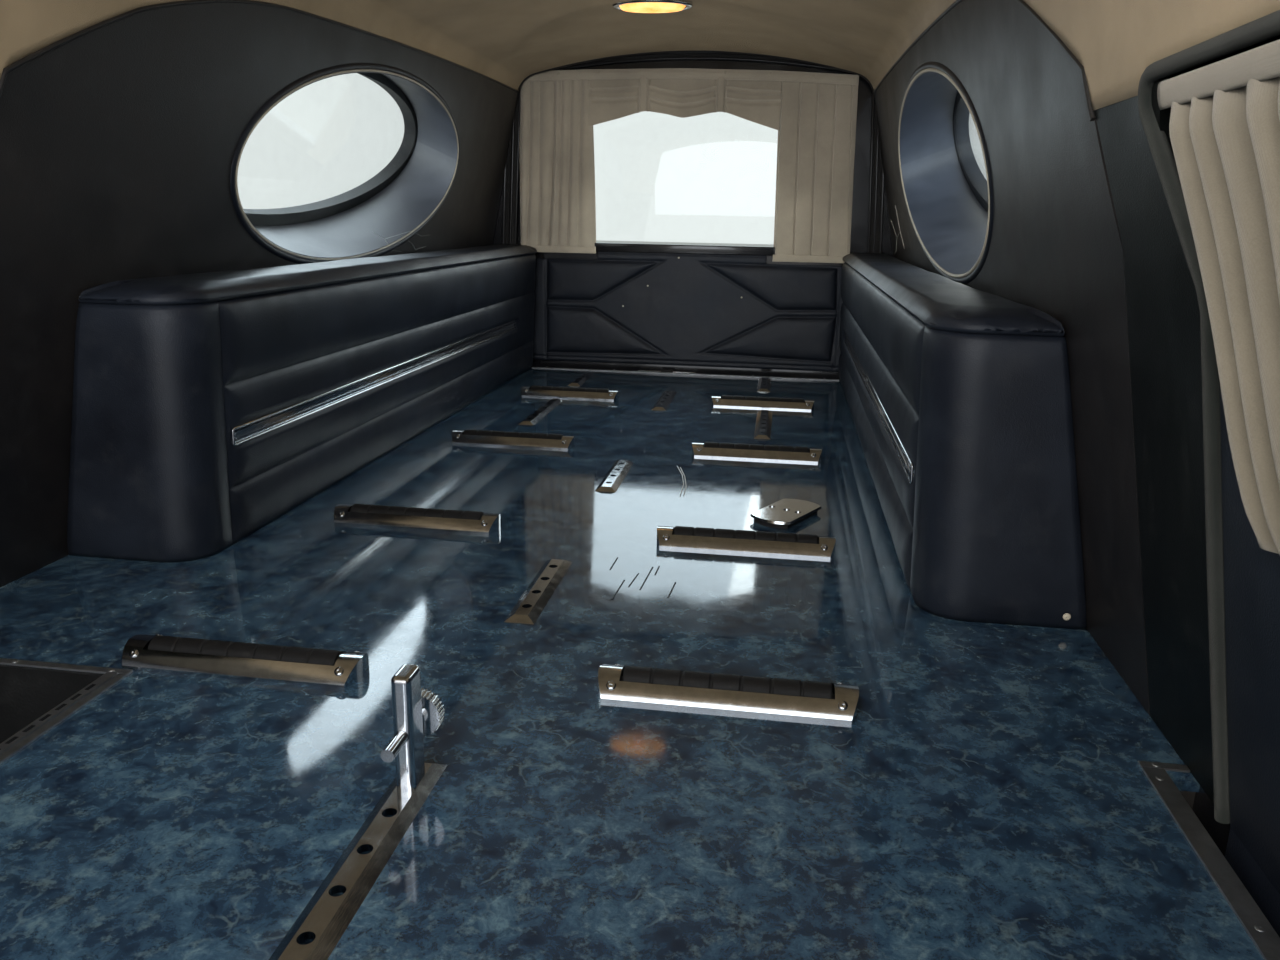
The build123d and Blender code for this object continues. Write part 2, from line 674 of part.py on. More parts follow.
# Dome lamp
LAMP_STATION = bay(0.673)
LAMP_X = -30
LAMP_RADII = (95, 62)
LAMP_Z = CEILING_CROWN - SEAT
with BuildPart() as lamp_bezel:
    with BuildSketch(Plane.XY.offset(LAMP_Z)):
        with Locations((LAMP_X, station(LAMP_STATION))):
            Ellipse(LAMP_RADII[0], LAMP_RADII[1])
            Ellipse(LAMP_RADII[0] - 16, LAMP_RADII[1] - 16, mode=Mode.SUBTRACT)
    extrude(amount=-14)
    fillet(lamp_bezel.edges().group_by(Axis.Z)[0], 5)
    add(headliner.part, mode=Mode.SUBTRACT)
save("lamp_bezel", lamp_bezel.part)
with BuildPart() as lamp_lens:
    with BuildSketch(Plane.XY.offset(LAMP_Z)):
        with Locations((LAMP_X, station(LAMP_STATION))):
            Ellipse(LAMP_RADII[0] - 17, LAMP_RADII[1] - 17)
    extrude(amount=-20)
    fillet(lamp_lens.edges().group_by(Axis.Z)[0], 12)
    add(headliner.part, mode=Mode.SUBTRACT)
save("lamp_lens", lamp_lens.part)


# Rear frame round the rear doorway
def doorway(inward=0):
    """Outline of the rear doorway, moved inward."""
    shoulder = rise(DOORWAY_SHOULDER)
    with BuildSketch() as outline:
        with BuildLine():
            Polyline(
                (-DOORWAY_TOP_HALF, shoulder),
                (-DOORWAY_HALF, rise(REAR_WINDOW_SILL)),
                (-DOORWAY_HALF, DOOR_SILL),
                (DOORWAY_HALF, DOOR_SILL),
                (DOORWAY_HALF, rise(REAR_WINDOW_SILL)),
                (DOORWAY_TOP_HALF, shoulder))
            ThreePointArc(
                (DOORWAY_TOP_HALF, shoulder), (0, rise(DOORWAY_CROWN)), (-DOORWAY_TOP_HALF, shoulder))
        face = make_face()
        fillet(face.vertices().group_by(Axis.Y)[-1], DOORWAY_CORNER)
        if inward:
            offset(amount=-inward)
    return outline.sketch


with BuildPart() as frame:
    with BuildSketch(across(FRAME_FRONT)):
        with BuildLine():
            ThreePointArc(SILL, BULGE, SHOULDER)
            ThreePointArc(SHOULDER, ROLL, BELT)
            Line(BELT, RAIL)
            mirror(about=Plane.YZ)
            roof_line()
            Line(SILL, (-SILL[0], SILL[1]))
        make_face()
    extrude(amount=-(LENGTH - FRAME_FRONT))
    outer_edges = frame.edges().group_by(Axis.Y)[-1].filter_by(lambda e: e.center().Z > SILL[1] + 1)
    fillet(outer_edges, 40)
    with BuildSketch(across(FRAME_FRONT)):
        add(doorway())
    extrude(amount=-(LENGTH - FRAME_FRONT), mode=Mode.SUBTRACT)
save("rear_frame", frame.part)

with BuildPart() as seal:
    with BuildSketch(across(FRAME_FRONT)):
        add(doorway(SEAT))
        add(doorway(SEAT + SEAL_WIDTH), mode=Mode.SUBTRACT)
    extrude(amount=-(REAR_DOOR_FRONT - FRAME_FRONT - DOOR_GAP))
save("door_seal", seal.part)


# Door hinges: fixed pins with a lug above and below each moving knuckle
with BuildPart() as hinge_pins:
    for x in (HINGE_X, -HINGE_X):
        for middle in SIDE_HINGE_HEIGHTS:
            inner = SHOULDER[0] if x > 0 else -SHOULDER[0]
            for low in (middle - HINGE_LENGTH, middle + HINGE_LENGTH / 2 + SEAT):
                height = HINGE_LENGTH / 2 - SEAT
                with Locations((x, HINGE_Y, low)):
                    Cylinder(HINGE_RADIUS, height, align=(Align.CENTER, Align.CENTER, Align.MIN))
                with Locations(((x + inner) / 2, HINGE_Y - HINGE_RADIUS - 1, low)):
                    Box(
                        abs(x - inner), 2 * HINGE_RADIUS - 4, height,
                        align=(Align.CENTER, Align.CENTER, Align.MIN))
            with Locations((x, HINGE_Y, middle - HINGE_LENGTH)):
                Cylinder(HINGE_PIN, 2 * HINGE_LENGTH, align=(Align.CENTER, Align.CENTER, Align.MIN))
    add(side.part, mode=Mode.SUBTRACT)
    add(mirror(side.part, about=Plane.YZ, mode=Mode.PRIVATE), mode=Mode.SUBTRACT)
    for middle in REAR_HINGE_HEIGHTS:
        y = station(REAR_HINGE_STATION)
        for low in (middle - HINGE_LENGTH, middle + HINGE_LENGTH / 2 + SEAT):
            height = HINGE_LENGTH / 2 - SEAT
            with Locations((REAR_HINGE_X, y, low)):
                Cylinder(HINGE_RADIUS, height, align=(Align.CENTER, Align.CENTER, Align.MIN))
            with Locations((REAR_HINGE_X + 20, station(LENGTH) + 4, low)):
                Box(40, 8, height, align=(Align.CENTER, Align.CENTER, Align.MIN))
        with Locations((REAR_HINGE_X, y, middle - HINGE_LENGTH)):
            Cylinder(HINGE_PIN, 2 * HINGE_LENGTH, align=(Align.CENTER, Align.CENTER, Align.MIN))
save("hinge_pins", hinge_pins.part)


# Roller bezels: domed bars with bowed ends, each open over its roller
def bezel():
    """Bezel at the origin."""
    half = BEZEL_SIZE[0] / 2 - BEZEL_BOW
    depth = BEZEL_SIZE[1] / 2
    dome = (depth ** 2 / (BEZEL_CROWN - BEZEL_EDGE) + BEZEL_CROWN - BEZEL_EDGE) / 2
    with BuildPart() as bar:
        with BuildSketch():
            with BuildLine():
                Line((-half, -depth), (half, -depth))
                ThreePointArc((half, -depth), (half + BEZEL_BOW, 0), (half, depth))
                Line((half, depth), (-half, depth))
                ThreePointArc((-half, depth), (-half - BEZEL_BOW, 0), (-half, -depth))
            make_face()
        extrude(amount=BEZEL_CROWN)
        with Locations(Location((0, 0, BEZEL_CROWN - dome), (0, 90, 0))):
            Cylinder(dome, BEZEL_SIZE[0], mode=Mode.INTERSECT)
        Box(ROLLER_LENGTH + 4, 2 * ROLLER_RADIUS + 4, 2 * BEZEL_CROWN, mode=Mode.SUBTRACT)
        with Locations(Location((0, 0, ROLLER_RISE), (0, 90, 0))):
            Cylinder(AXLE_RADIUS + SEAT, ROLLER_LENGTH + 22, mode=Mode.SUBTRACT)
    return bar.part


BEZEL = bezel()
with BuildPart() as bezels:
    for _, sign, shares in ROLLERS:
        for share in shares:
            add(BEZEL.moved(Location((sign * ROLLER_X, station(bay(share)), DECK_TOP))))
save("roller_bezels", bezels.part)

# Rollers: ribbed rubber on an axle whose ends turn in the bezel
RIB_PITCH = ROLLER_LENGTH / ROLLER_RIBS
for side_name, sign, shares in ROLLERS:
    for number, share in enumerate(shares, 1):
        centre = (sign * ROLLER_X, station(bay(share)), rise(ROLLER_RISE))
        with BuildPart() as roller:
            with BuildSketch(Plane.XZ):
                with BuildLine():
                    half = ROLLER_LENGTH / 2
                    points = [(-half - 8, 0), (-half - 8, AXLE_RADIUS), (-half, AXLE_RADIUS)]
                    for rib in range(ROLLER_RIBS):
                        start = -half + rib * RIB_PITCH
                        end = start + RIB_PITCH
                        points.append((start + ROLLER_GROOVE / 2, ROLLER_RADIUS - ROLLER_GROOVE))
                        points.append((start + 2 * ROLLER_GROOVE, ROLLER_RADIUS))
                        points.append((end - 2 * ROLLER_GROOVE, ROLLER_RADIUS))
                        points.append((end - ROLLER_GROOVE / 2, ROLLER_RADIUS - ROLLER_GROOVE))
                    points += [(half, AXLE_RADIUS), (half + 8, AXLE_RADIUS), (half + 8, 0)]
                    Polyline(*points, close=True)
                make_face()
            revolve(axis=Axis.X)
        placed = roller.part.moved(Location(centre))
        save(f"roller_{side_name}_{number}", placed)


# Pin plates: bevelled bars with rows of holes
with BuildPart() as plates:
    for x, share, length in PLATES:
        with BuildSketch(Plane.XY.offset(DECK_TOP)):
            with Locations((x, station(bay(share)))):
                Rectangle(PLATE_WIDTH, length)
        extrude(amount=PLATE_HEIGHT, taper=PLATE_BEVEL)
        with BuildSketch(Plane.XY.offset(DECK_TOP)):
            with Locations(*plate_holes(x, share, length)):
                Circle(PLATE_HOLE)
        extrude(amount=PLATE_HEIGHT, mode=Mode.SUBTRACT)
save("pin_plates", plates.part)

# Bier pin: a flat post in the last hole of the front plate, with a clamping screw through it
PIN_SIZE = (18, 32)
PIN_Y = plate_holes(*PLATES[0])[-1][1]
PIN_FOOT = DECK_TOP + PLATE_HEIGHT
KNOB_RISE = 60
KNOB_RADIUS = 22
KNOB_THICKNESS = 13
KNOB_BOSS = (9, 4)      # radius and height
SCREW_RADIUS = 6
SCREW_REACH = 32        # ahead of the post
SCREW_AXIS = Location((0, PIN_Y, rise(KNOB_RISE)), (90, 0, 0))
with BuildPart() as bier_pin:
    with BuildSketch(Plane.XY.offset(PIN_FOOT)):
        with Locations((0, PIN_Y)):
            RectangleRounded(*PIN_SIZE, 6)
    extrude(amount=PIN_HEIGHT - PLATE_HEIGHT)
    fillet(bier_pin.edges().group_by(Axis.Z)[-1], 5)
    with Locations((0, PIN_Y, PIN_FOOT)):
        Cylinder(PLATE_HOLE - SEAT, 22, align=(Align.CENTER, Align.CENTER, Align.MAX))
    with Locations(SCREW_AXIS):
        Cylinder(SCREW_RADIUS + SEAT, 2 * PIN_SIZE[1], mode=Mode.SUBTRACT)
save("bier_pin", bier_pin.part)

with BuildPart() as knob:
    knob_front = Plane.XZ.offset(-(PIN_Y + PIN_SIZE[1] / 2 + SEAT))
    centre = (0, rise(KNOB_RISE))
    with BuildSketch(knob_front):
        with Locations(centre):
            Circle(KNOB_BOSS[0])
    extrude(amount=-KNOB_BOSS[1])
    with BuildSketch(knob_front.offset(-KNOB_BOSS[1])):
        with Locations(centre):
            Circle(KNOB_RADIUS)
            with PolarLocations(KNOB_RADIUS, 36):
                Circle(1.3, mode=Mode.SUBTRACT)
    extrude(amount=-KNOB_THICKNESS)
    with BuildSketch(knob_front):
        with Locations(centre):
            Circle(SCREW_RADIUS)
    extrude(amount=PIN_SIZE[1] + SCREW_REACH)
save("bier_pin_knob", knob.part)

# Pin stop: a loose plate with bowed ends and three holes, on a rubber pad
STOP_CENTRE = (337, station(bay(0.292)))
STOP_TURN = 62
STOP_SIZE = (118, 77)
STOP_BOW = 15
STOP_PAD = 9
STOP_PAD_MARGIN = 6
STOP_THICKNESS = 4
STOP_HOLE = 4.5
STOP_PLACE = Location((*STOP_CENTRE, 0), (0, 0, STOP_TURN))


def stop_outline(margin=0):
    """Outline of the pin stop at the origin, moved inward."""
    length = STOP_SIZE[0] / 2
    width = STOP_SIZE[1] / 2
    with BuildSketch() as outline:
        with BuildLine():
            Line((-length, -width), (length, -width))
            ThreePointArc((length, -width), (length + STOP_BOW, 0), (length, width))
            Line((length, width), (-length, width))
            ThreePointArc((-length, width), (-length - STOP_BOW, 0), (-length, -width))
        make_face()
        if margin:
            offset(amount=-margin)
    return outline.sketch


with BuildPart() as stop_pad:
    with BuildSketch(Plane.XY.offset(DECK_TOP)):
        add(stop_outline(STOP_PAD_MARGIN).moved(STOP_PLACE))
    extrude(amount=STOP_PAD)
save("pin_stop_pad", stop_pad.part)
with BuildPart() as stop_plate:
    with BuildSketch(Plane.XY.offset(DECK_TOP + STOP_PAD)):
        add(stop_outline().moved(STOP_PLACE))
        with Locations(STOP_PLACE):
            with Locations((0, 29), (0, 0), (0, -22)):
                Circle(STOP_HOLE, mode=Mode.SUBTRACT)
    extrude(amount=STOP_THICKNESS, taper=20)
save("pin_stop", stop_plate.part)


# Rear door, its trim, glass, handle and drapes
with BuildPart() as rear_door:
    with BuildSketch(across(REAR_DOOR_FRONT)):
        add(doorway(DOOR_GAP + REAR_DOOR_TAPER))
    with BuildSketch(across(LENGTH)):
        add(doorway(DOOR_GAP))
    loft()
    with BuildSketch(across(REAR_DOOR_FRONT)) as rear_window:
        with BuildLine():
            Polyline(
                (-REAR_WINDOW_HALF, rise(REAR_WINDOW_SILL)),
                (REAR_WINDOW_HALF, rise(REAR_WINDOW_SILL)),
                (REAR_WINDOW_HALF - 25, rise(REAR_WINDOW_TOP)))
            ThreePointArc(
                (REAR_WINDOW_HALF - 25, rise(REAR_WINDOW_TOP)),
                (0, rise(REAR_WINDOW_TOP + 30)),
                (-REAR_WINDOW_HALF + 25, rise(REAR_WINDOW_TOP)))
            Line((-REAR_WINDOW_HALF + 25, rise(REAR_WINDOW_TOP)), (-REAR_WINDOW_HALF, rise(REAR_WINDOW_SILL)))
        opening = make_face()
        fillet(opening.vertices(), 45)
    extrude(amount=-(LENGTH - REAR_DOOR_FRONT), mode=Mode.SUBTRACT)
    for middle in REAR_HINGE_HEIGHTS:
        with Locations((REAR_HINGE_X, station(REAR_HINGE_STATION), middle)):
            Cylinder(HINGE_RADIUS, HINGE_LENGTH - 2 * SEAT)
        with Locations((REAR_HINGE_X - 30, station(LENGTH) + 4, middle)):
            Box(60, 8, HINGE_LENGTH - 2 * SEAT)
        with Locations((REAR_HINGE_X, station(REAR_HINGE_STATION), middle)):
            Cylinder(HINGE_PIN + SEAT, HINGE_LENGTH, mode=Mode.SUBTRACT)
save("rear_door", rear_door.part)

PANE_STATION = LENGTH - 40
with BuildPart() as rear_glass:
    with BuildSketch(across(PANE_STATION)):
        add(rear_window.sketch_local)
        offset(amount=-SEAT)
    extrude(amount=-GLASS_THICKNESS)
save("rear_door_glass", rear_glass.part)

# Trim panel: full width below the drapes, and up to the window sill between them
PANEL_TOP = REAR_WINDOW_SILL - 46
PANEL_FOOT = 20
PANEL_HALF = DOORWAY_HALF - 35
with BuildPart() as rear_panel:
    with BuildSketch(across(REAR_DOOR_FRONT - PANEL_THICKNESS)) as panel_face:
        with Locations((0, rise((PANEL_TOP + PANEL_FOOT) / 2))):
            RectangleRounded(2 * PANEL_HALF, PANEL_TOP - PANEL_FOOT, 24)
        sill_left = DRAPES[1][0] - 4
        sill_right = DRAPES[0][1] + 4
        with Locations(((sill_left + sill_right) / 2, rise((REAR_WINDOW_SILL + PANEL_TOP) / 2) - 12)):
            Rectangle(sill_left - sill_right, REAR_WINDOW_SILL - PANEL_TOP + 20)
    extrude(amount=-PANEL_THICKNESS)
save("rear_door_panel", rear_panel.part)

with BuildPart() as drapes:
    for low_x, high_x, foot, head in DRAPES:
        with BuildSketch(across(DRAPE_FRONT)):
            with Locations(((low_x + high_x) / 2, rise((foot + head) / 2))):
                Rectangle(high_x - low_x, head - foot)
        extrude(amount=-DRAPE_DEPTH)
        with BuildSketch(across(DRAPE_FRONT)):
            middle = (low_x + high_x) / 2
            with Locations((middle, rise(head - DRAPE_HEM / 2)), (middle, rise(foot + DRAPE_HEM / 2))):
                Rectangle(high_x - low_x, DRAPE_HEM)
        extrude(amount=-(REAR_DOOR_FRONT - DRAPE_FRONT - SEAT))
save("rear_drapes", drapes.part)

with BuildPart() as valance:
    with BuildSketch(across(DRAPE_FRONT)):
        with Locations((VALANCE_MIDDLE, rise(VALANCE_HEAD - VALANCE_DROP / 2))):
            Rectangle(VALANCE_WIDTH, VALANCE_DROP)
    extrude(amount=-VALANCE_DEPTH)
    with BuildSketch(across(DRAPE_FRONT)):
        with Locations((VALANCE_MIDDLE, rise(VALANCE_HEAD - DRAPE_HEM / 2))):
            Rectangle(VALANCE_WIDTH, DRAPE_HEM)
    extrude(amount=-(REAR_DOOR_FRONT - DRAPE_FRONT - SEAT))
save("rear_valance", valance.part)

# Handle: a pull on two posts over a base plate
HANDLE_X = 100 - DOORWAY_HALF
HANDLE_Z = 640
HANDLE_LENGTH = 190
with BuildPart() as handle:
    with BuildSketch(across(LENGTH)):
        with Locations((HANDLE_X, HANDLE_Z)):
            SlotOverall(HANDLE_LENGTH, 44)
    extrude(amount=-4)
    with BuildSketch(across(LENGTH + 4)):
        with Locations((HANDLE_X - 70, HANDLE_Z), (HANDLE_X + 70, HANDLE_Z)):
            Circle(9)
    extrude(amount=-22)
    with BuildSketch(across(LENGTH + 18)):
        with Locations((HANDLE_X, HANDLE_Z)):
            SlotOverall(HANDLE_LENGTH - 10, 24)
    extrude(amount=-14)
    fillet(handle.edges().group_by(Axis.Y)[-1], 5)
save("rear_door_handle", handle.part)


# Side doors, with trim, glass and curtain
DOOR_SWEEP = door_sweep(DOOR_GAP)
DOOR_FRONT = HINGE_STATION + DOOR_GAP
WINDOW_PLANE = CANT_X - 100     # inboard of both doors
with BuildPart() as side_door:
    with BuildSketch(across(DOOR_FRONT)):
        add(side_section(BACKING))
    extrude(amount=-(DOOR_REACH_TOP + 60))
    add(DOOR_SWEEP, mode=Mode.INTERSECT)
    with BuildSketch(Plane.YZ.offset(WINDOW_PLANE)) as side_window:
        with BuildLine():
            Polyline(
                (station(WINDOW_FRONT), rise(WINDOW_SILL)),
                (station(WINDOW_REAR), rise(WINDOW_SILL)),
                (station(WINDOW_REAR + WINDOW_RAKE), rise(WINDOW_TOP)),
                (station(WINDOW_FRONT), rise(WINDOW_TOP)),
                (station(WINDOW_FRONT), rise(WINDOW_SILL)))
        opening = make_face()
        fillet(opening.vertices(), 30)
    extrude(amount=HINGE_X - WINDOW_PLANE, mode=Mode.SUBTRACT)
    for middle in SIDE_HINGE_HEIGHTS:
        with Locations((HINGE_X, HINGE_Y, middle)):
            Cylinder(HINGE_RADIUS, HINGE_LENGTH - 2 * SEAT)
        with Locations(((HINGE_X + SHOULDER[0]) / 2 - 5, HINGE_Y + DOOR_GAP + 8, middle)):
            Box(HINGE_X - SHOULDER[0] + 10, 16, HINGE_LENGTH - 2 * SEAT)
        with Locations((HINGE_X, HINGE_Y, middle)):
            Cylinder(HINGE_PIN + SEAT, HINGE_LENGTH, mode=Mode.SUBTRACT)
each_side("side_door", side_door.part)

with BuildPart() as door_trim:
    low = DOOR_SILL + DOOR_GAP + 3
    high = rise(WINDOW_SILL) - 10
    with BuildSketch(across(DOOR_FRONT + 3)):
        with BuildLine():
            Polyline(
                (WALL_FOOT, low),
                (WALL_INSIDE, low),
                (WALL_INSIDE, DECK_TOP),
                (lining_x(high, BACKING), high),
                (lining_x(high), high),
                (WALL_FOOT, DECK_TOP),
                (WALL_FOOT, low))
        make_face()
    extrude(amount=-DOOR_REACH_TOP)
    add(DOOR_SWEEP, mode=Mode.INTERSECT)
each_side("side_door_trim", door_trim.part)

with BuildPart() as door_pane:
    with BuildSketch(Plane.YZ.offset(WINDOW_PLANE)):
        add(side_window.sketch_local)
        offset(amount=-SEAT)
    extrude(amount=HINGE_X - WINDOW_PLANE)
    split(bisect_by=SKIN_PLANE.offset(-20), keep=Keep.BOTTOM)
    split(bisect_by=SKIN_PLANE.offset(-20 - GLASS_THICKNESS), keep=Keep.TOP)
each_side("side_door_glass", door_pane.part)

# Curtain, as (station, rise) on the lining plane: its rear edge follows the door's edge
CURTAIN_FOOT = WINDOW_SILL - 130
CURTAIN_HEAD = DOOR_TOP_RISE - 14
CURTAIN = (
    (WINDOW_FRONT - 45, CURTAIN_FOOT),
    (WINDOW_REAR - 2, CURTAIN_FOOT),
    (WINDOW_REAR + 45, CURTAIN_FOOT + 88),
    (WINDOW_REAR + 70, CURTAIN_FOOT + 180),
    (WINDOW_REAR + 135, CURTAIN_HEAD),
    (WINDOW_FRONT - 45, CURTAIN_HEAD),
    (WINDOW_FRONT - 45, CURTAIN_FOOT),
)
CURTAIN_THICKNESS = 18
with BuildPart() as curtain:
    with BuildSketch(LINING_PLANE.offset(-SEAT)):
        with BuildLine():
            Polyline(*[lining_point(*point) for point in CURTAIN])
        make_face()
    extrude(amount=-CURTAIN_THICKNESS)
each_side("side_curtain", curtain.part)
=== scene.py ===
import bpy
import json
import math
import numpy as np
from mathutils import Matrix, Vector, noise


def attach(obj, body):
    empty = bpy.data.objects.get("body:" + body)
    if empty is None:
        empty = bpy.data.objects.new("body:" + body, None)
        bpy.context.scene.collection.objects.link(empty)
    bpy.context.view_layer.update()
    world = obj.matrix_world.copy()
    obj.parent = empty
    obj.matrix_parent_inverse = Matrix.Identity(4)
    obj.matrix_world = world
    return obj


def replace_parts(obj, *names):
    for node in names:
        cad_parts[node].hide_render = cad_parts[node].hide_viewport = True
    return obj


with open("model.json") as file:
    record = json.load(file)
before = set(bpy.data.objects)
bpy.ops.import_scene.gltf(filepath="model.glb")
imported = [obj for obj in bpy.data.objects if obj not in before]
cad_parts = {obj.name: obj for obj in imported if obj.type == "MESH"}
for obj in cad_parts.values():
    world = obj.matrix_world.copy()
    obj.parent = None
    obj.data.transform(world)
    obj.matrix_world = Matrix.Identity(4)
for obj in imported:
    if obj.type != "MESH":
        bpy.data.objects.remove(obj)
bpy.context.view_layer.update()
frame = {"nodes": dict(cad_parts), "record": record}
NODES = frame["nodes"]

# The casket compartment of a hearse, in metres: X to the vehicle's left, Y to its rear, Z up.
DECK = 0.36
WALL_FOOT = 0.72
WALL_LEAN = 0.2
FRONT = -1.75


def at(station):
    """Y of a station, given in millimetres behind the front cut."""
    return FRONT + station / 1000


def lining_x(z, inward=0.0):
    """Half width between the linings at a height."""
    return WALL_FOOT - WALL_LEAN * (z - DECK) - inward


def ease(value):
    """Smooth step from 0 to 1."""
    value = np.clip(value, 0.0, 1.0)
    return value * value * (3 - 2 * value)


# Materials


def srgb(red, green, blue):
    """Linear colour of an 8-bit one."""
    return tuple((c / 255 / 12.92 if c < 11 else ((c / 255 + 0.055) / 1.055) ** 2.4)
                 for c in (red, green, blue)) + (1.0,)


class Finish:
    """A material with short calls for its nodes."""

    def __init__(self, name):
        self.material = bpy.data.materials.new(name)
        self.material.use_nodes = True
        self.tree = self.material.node_tree
        self.tree.nodes.clear()
        self.output = self.node("OutputMaterial")
        self.shader = self.node("BsdfPrincipled")
        self.join(self.shader.outputs[0], self.output.inputs["Surface"])
        self.place = self.node("TexCoord").outputs["Object"]

    def node(self, kind, **settings):
        made = self.tree.nodes.new("ShaderNode" + kind)
        for name, value in settings.items():
            setattr(made, name, value)
        return made

    def join(self, source, target):
        self.tree.links.new(source, target)

    def set(self, **values):
        for name, value in values.items():
            self.shader.inputs[name.replace("_", " ")].default_value = value

    def drive(self, **sources):
        for name, source in sources.items():
            self.join(source, self.shader.inputs[name.replace("_", " ")])

    def stretched(self, scale):
        mapping = self.node("Mapping")
        mapping.inputs["Scale"].default_value = scale
        self.join(self.place, mapping.inputs["Vector"])
        return mapping.outputs[0]

    def noise(self, scale, detail=4.0, roughness=0.55, distortion=0.0, place=None):
        made = self.node("TexNoise")
        made.inputs["Scale"].default_value = scale
        made.inputs["Detail"].default_value = detail
        made.inputs["Roughness"].default_value = roughness
        made.inputs["Distortion"].default_value = distortion
        self.join(place or self.place, made.inputs["Vector"])
        return made.outputs["Fac"]

    def cells(self, scale, place=None, feature="F1"):
        made = self.node("TexVoronoi", feature=feature)
        made.inputs["Scale"].default_value = scale
        self.join(place or self.place, made.inputs["Vector"])
        return made.outputs["Distance"]

    def wave(self, scale, direction="X", distortion=0.0, place=None):
        made = self.node("TexWave", bands_direction=direction)
        made.inputs["Scale"].default_value = scale
        made.inputs["Distortion"].default_value = distortion
        self.join(place or self.place, made.inputs["Vector"])
        return made.outputs["Fac"]

    def colours(self, source, *stops):
        ramp = self.node("ValToRGB")
        elements = ramp.color_ramp.elements
        while len(elements) < len(stops):
            elements.new(0.5)
        for element, (position, colour) in zip(elements, stops):
            element.position = position
            element.color = colour
        self.join(source, ramp.inputs["Fac"])
        return ramp.outputs["Color"]

    def spread(self, source, low, high, start=0.0, end=1.0):
        made = self.node("MapRange")
        for name, value in (("From Min", start), ("From Max", end), ("To Min", low), ("To Max", high)):
            made.inputs[name].default_value = value
        self.join(source, made.inputs["Value"])
        return made.outputs[0]

    def combine(self, operation, first, second):
        made = self.node("Math", operation=operation)
        for socket, value in zip(made.inputs, (first, second)):
            if isinstance(value, (int, float)):
                socket.default_value = value
            else:
                self.join(value, socket)
        return made.outputs[0]

    def blend(self, factor, first, second):
        made = self.node("Mix", data_type="RGBA")
        self.join(factor, made.inputs["Factor"])
        for socket, value in ((made.inputs[6], first), (made.inputs[7], second)):
            if isinstance(value, tuple):
                socket.default_value = value
            else:
                self.join(value, socket)
        return made.outputs[2]

    def bump(self, height, distance, strength=1.0, under=None):
        made = self.node("Bump")
        made.inputs["Strength"].default_value = strength
        made.inputs["Distance"].default_value = distance
        self.join(height, made.inputs["Height"])
        if under:
            self.join(under, made.inputs["Normal"])
        return made.outputs[0]


def body_paint():
    f = Finish("body_paint")
    film = f.noise(2.4, 6, 0.6)
    dust = f.spread(f.noise(9, 8, 0.7), 0.0, 0.09, 0.45, 0.8)
    base = f.blend(dust, f.colours(film, (0.3, srgb(12, 13, 16)), (0.7, srgb(18, 19, 23))), srgb(74, 72, 68))
    f.drive(Base_Color=base, Roughness=f.spread(f.noise(14, 6), 0.12, 0.24, 0.3, 0.7),
            Normal=f.bump(f.noise(420, 2), 0.0001, 0.12))
    f.set(Coat_Weight=0.5, Coat_Roughness=0.06)
    return f


def frame_paint():
    f = Finish("frame_paint")
    dirt = f.noise(16, 8, 0.65)
    f.drive(Base_Color=f.colours(dirt, (0.35, srgb(34, 34, 36)), (0.62, srgb(52, 50, 48)), (0.8, srgb(84, 76, 66))),
            Roughness=f.spread(dirt, 0.42, 0.75, 0.3, 0.7),
            Normal=f.bump(f.noise(260, 3), 0.0004, 0.5))
    return f


def underseal():
    f = Finish("underseal")
    lumps = f.noise(150, 6, 0.7)
    f.drive(Base_Color=f.colours(f.noise(12, 6), (0.3, srgb(30, 30, 31)), (0.75, srgb(56, 52, 47))),
            Roughness=f.spread(lumps, 0.7, 0.95), Normal=f.bump(lumps, 0.003, 0.8))
    return f


def laminate():
    """Dark marbled laminate: soft blue-green clouds, dark granular blotches and broken light veins."""
    f = Finish("laminate")
    shift = f.node("TexNoise")
    shift.inputs["Scale"].default_value = 24.0
    shift.inputs["Detail"].default_value = 6.0
    f.join(f.place, shift.inputs["Vector"])
    warp = f.node("Mix", data_type="RGBA", blend_type="ADD")
    warp.inputs["Factor"].default_value = 0.04
    f.join(f.place, warp.inputs[6])
    f.join(shift.outputs["Color"], warp.inputs[7])
    bent = warp.outputs[2]
    base = f.colours(f.noise(19, 10, 0.76, place=bent), (0.36, srgb(17, 27, 41)), (0.45, srgb(27, 43, 60)),
                     (0.54, srgb(40, 61, 79)), (0.66, srgb(65, 87, 100)))
    blotch = f.spread(f.noise(48, 8, 0.74, place=bent), 1.0, 0.0, 0.40, 0.49)
    base = f.blend(f.combine("MULTIPLY", blotch, 0.60), base, srgb(17, 26, 38))
    granule = f.spread(f.noise(62, 9, 0.78), 0.0, 1.0, 0.53, 0.64)
    base = f.blend(f.combine("MULTIPLY", granule, 0.34), base, srgb(96, 116, 120))
    crack = f.spread(f.cells(24, place=bent, feature="DISTANCE_TO_EDGE"), 1.0, 0.0, 0.0, 0.045)
    broken = f.spread(f.noise(19, 5, 0.6), 0.0, 1.0, 0.50, 0.62)
    vein = f.combine("MULTIPLY", crack, broken)
    base = f.blend(f.combine("MULTIPLY", vein, 0.20), base, srgb(116, 136, 138))
    wear = f.noise(20, 8, 0.7, 0.6)
    f.drive(Base_Color=base, Roughness=f.spread(wear, 0.04, 0.13, 0.35, 0.75),
            Normal=f.bump(f.noise(26, 3), 0.0004, 0.10))
    f.set(Specular_IOR_Level=0.55, Coat_Weight=0.25, Coat_Roughness=0.05)
    return f


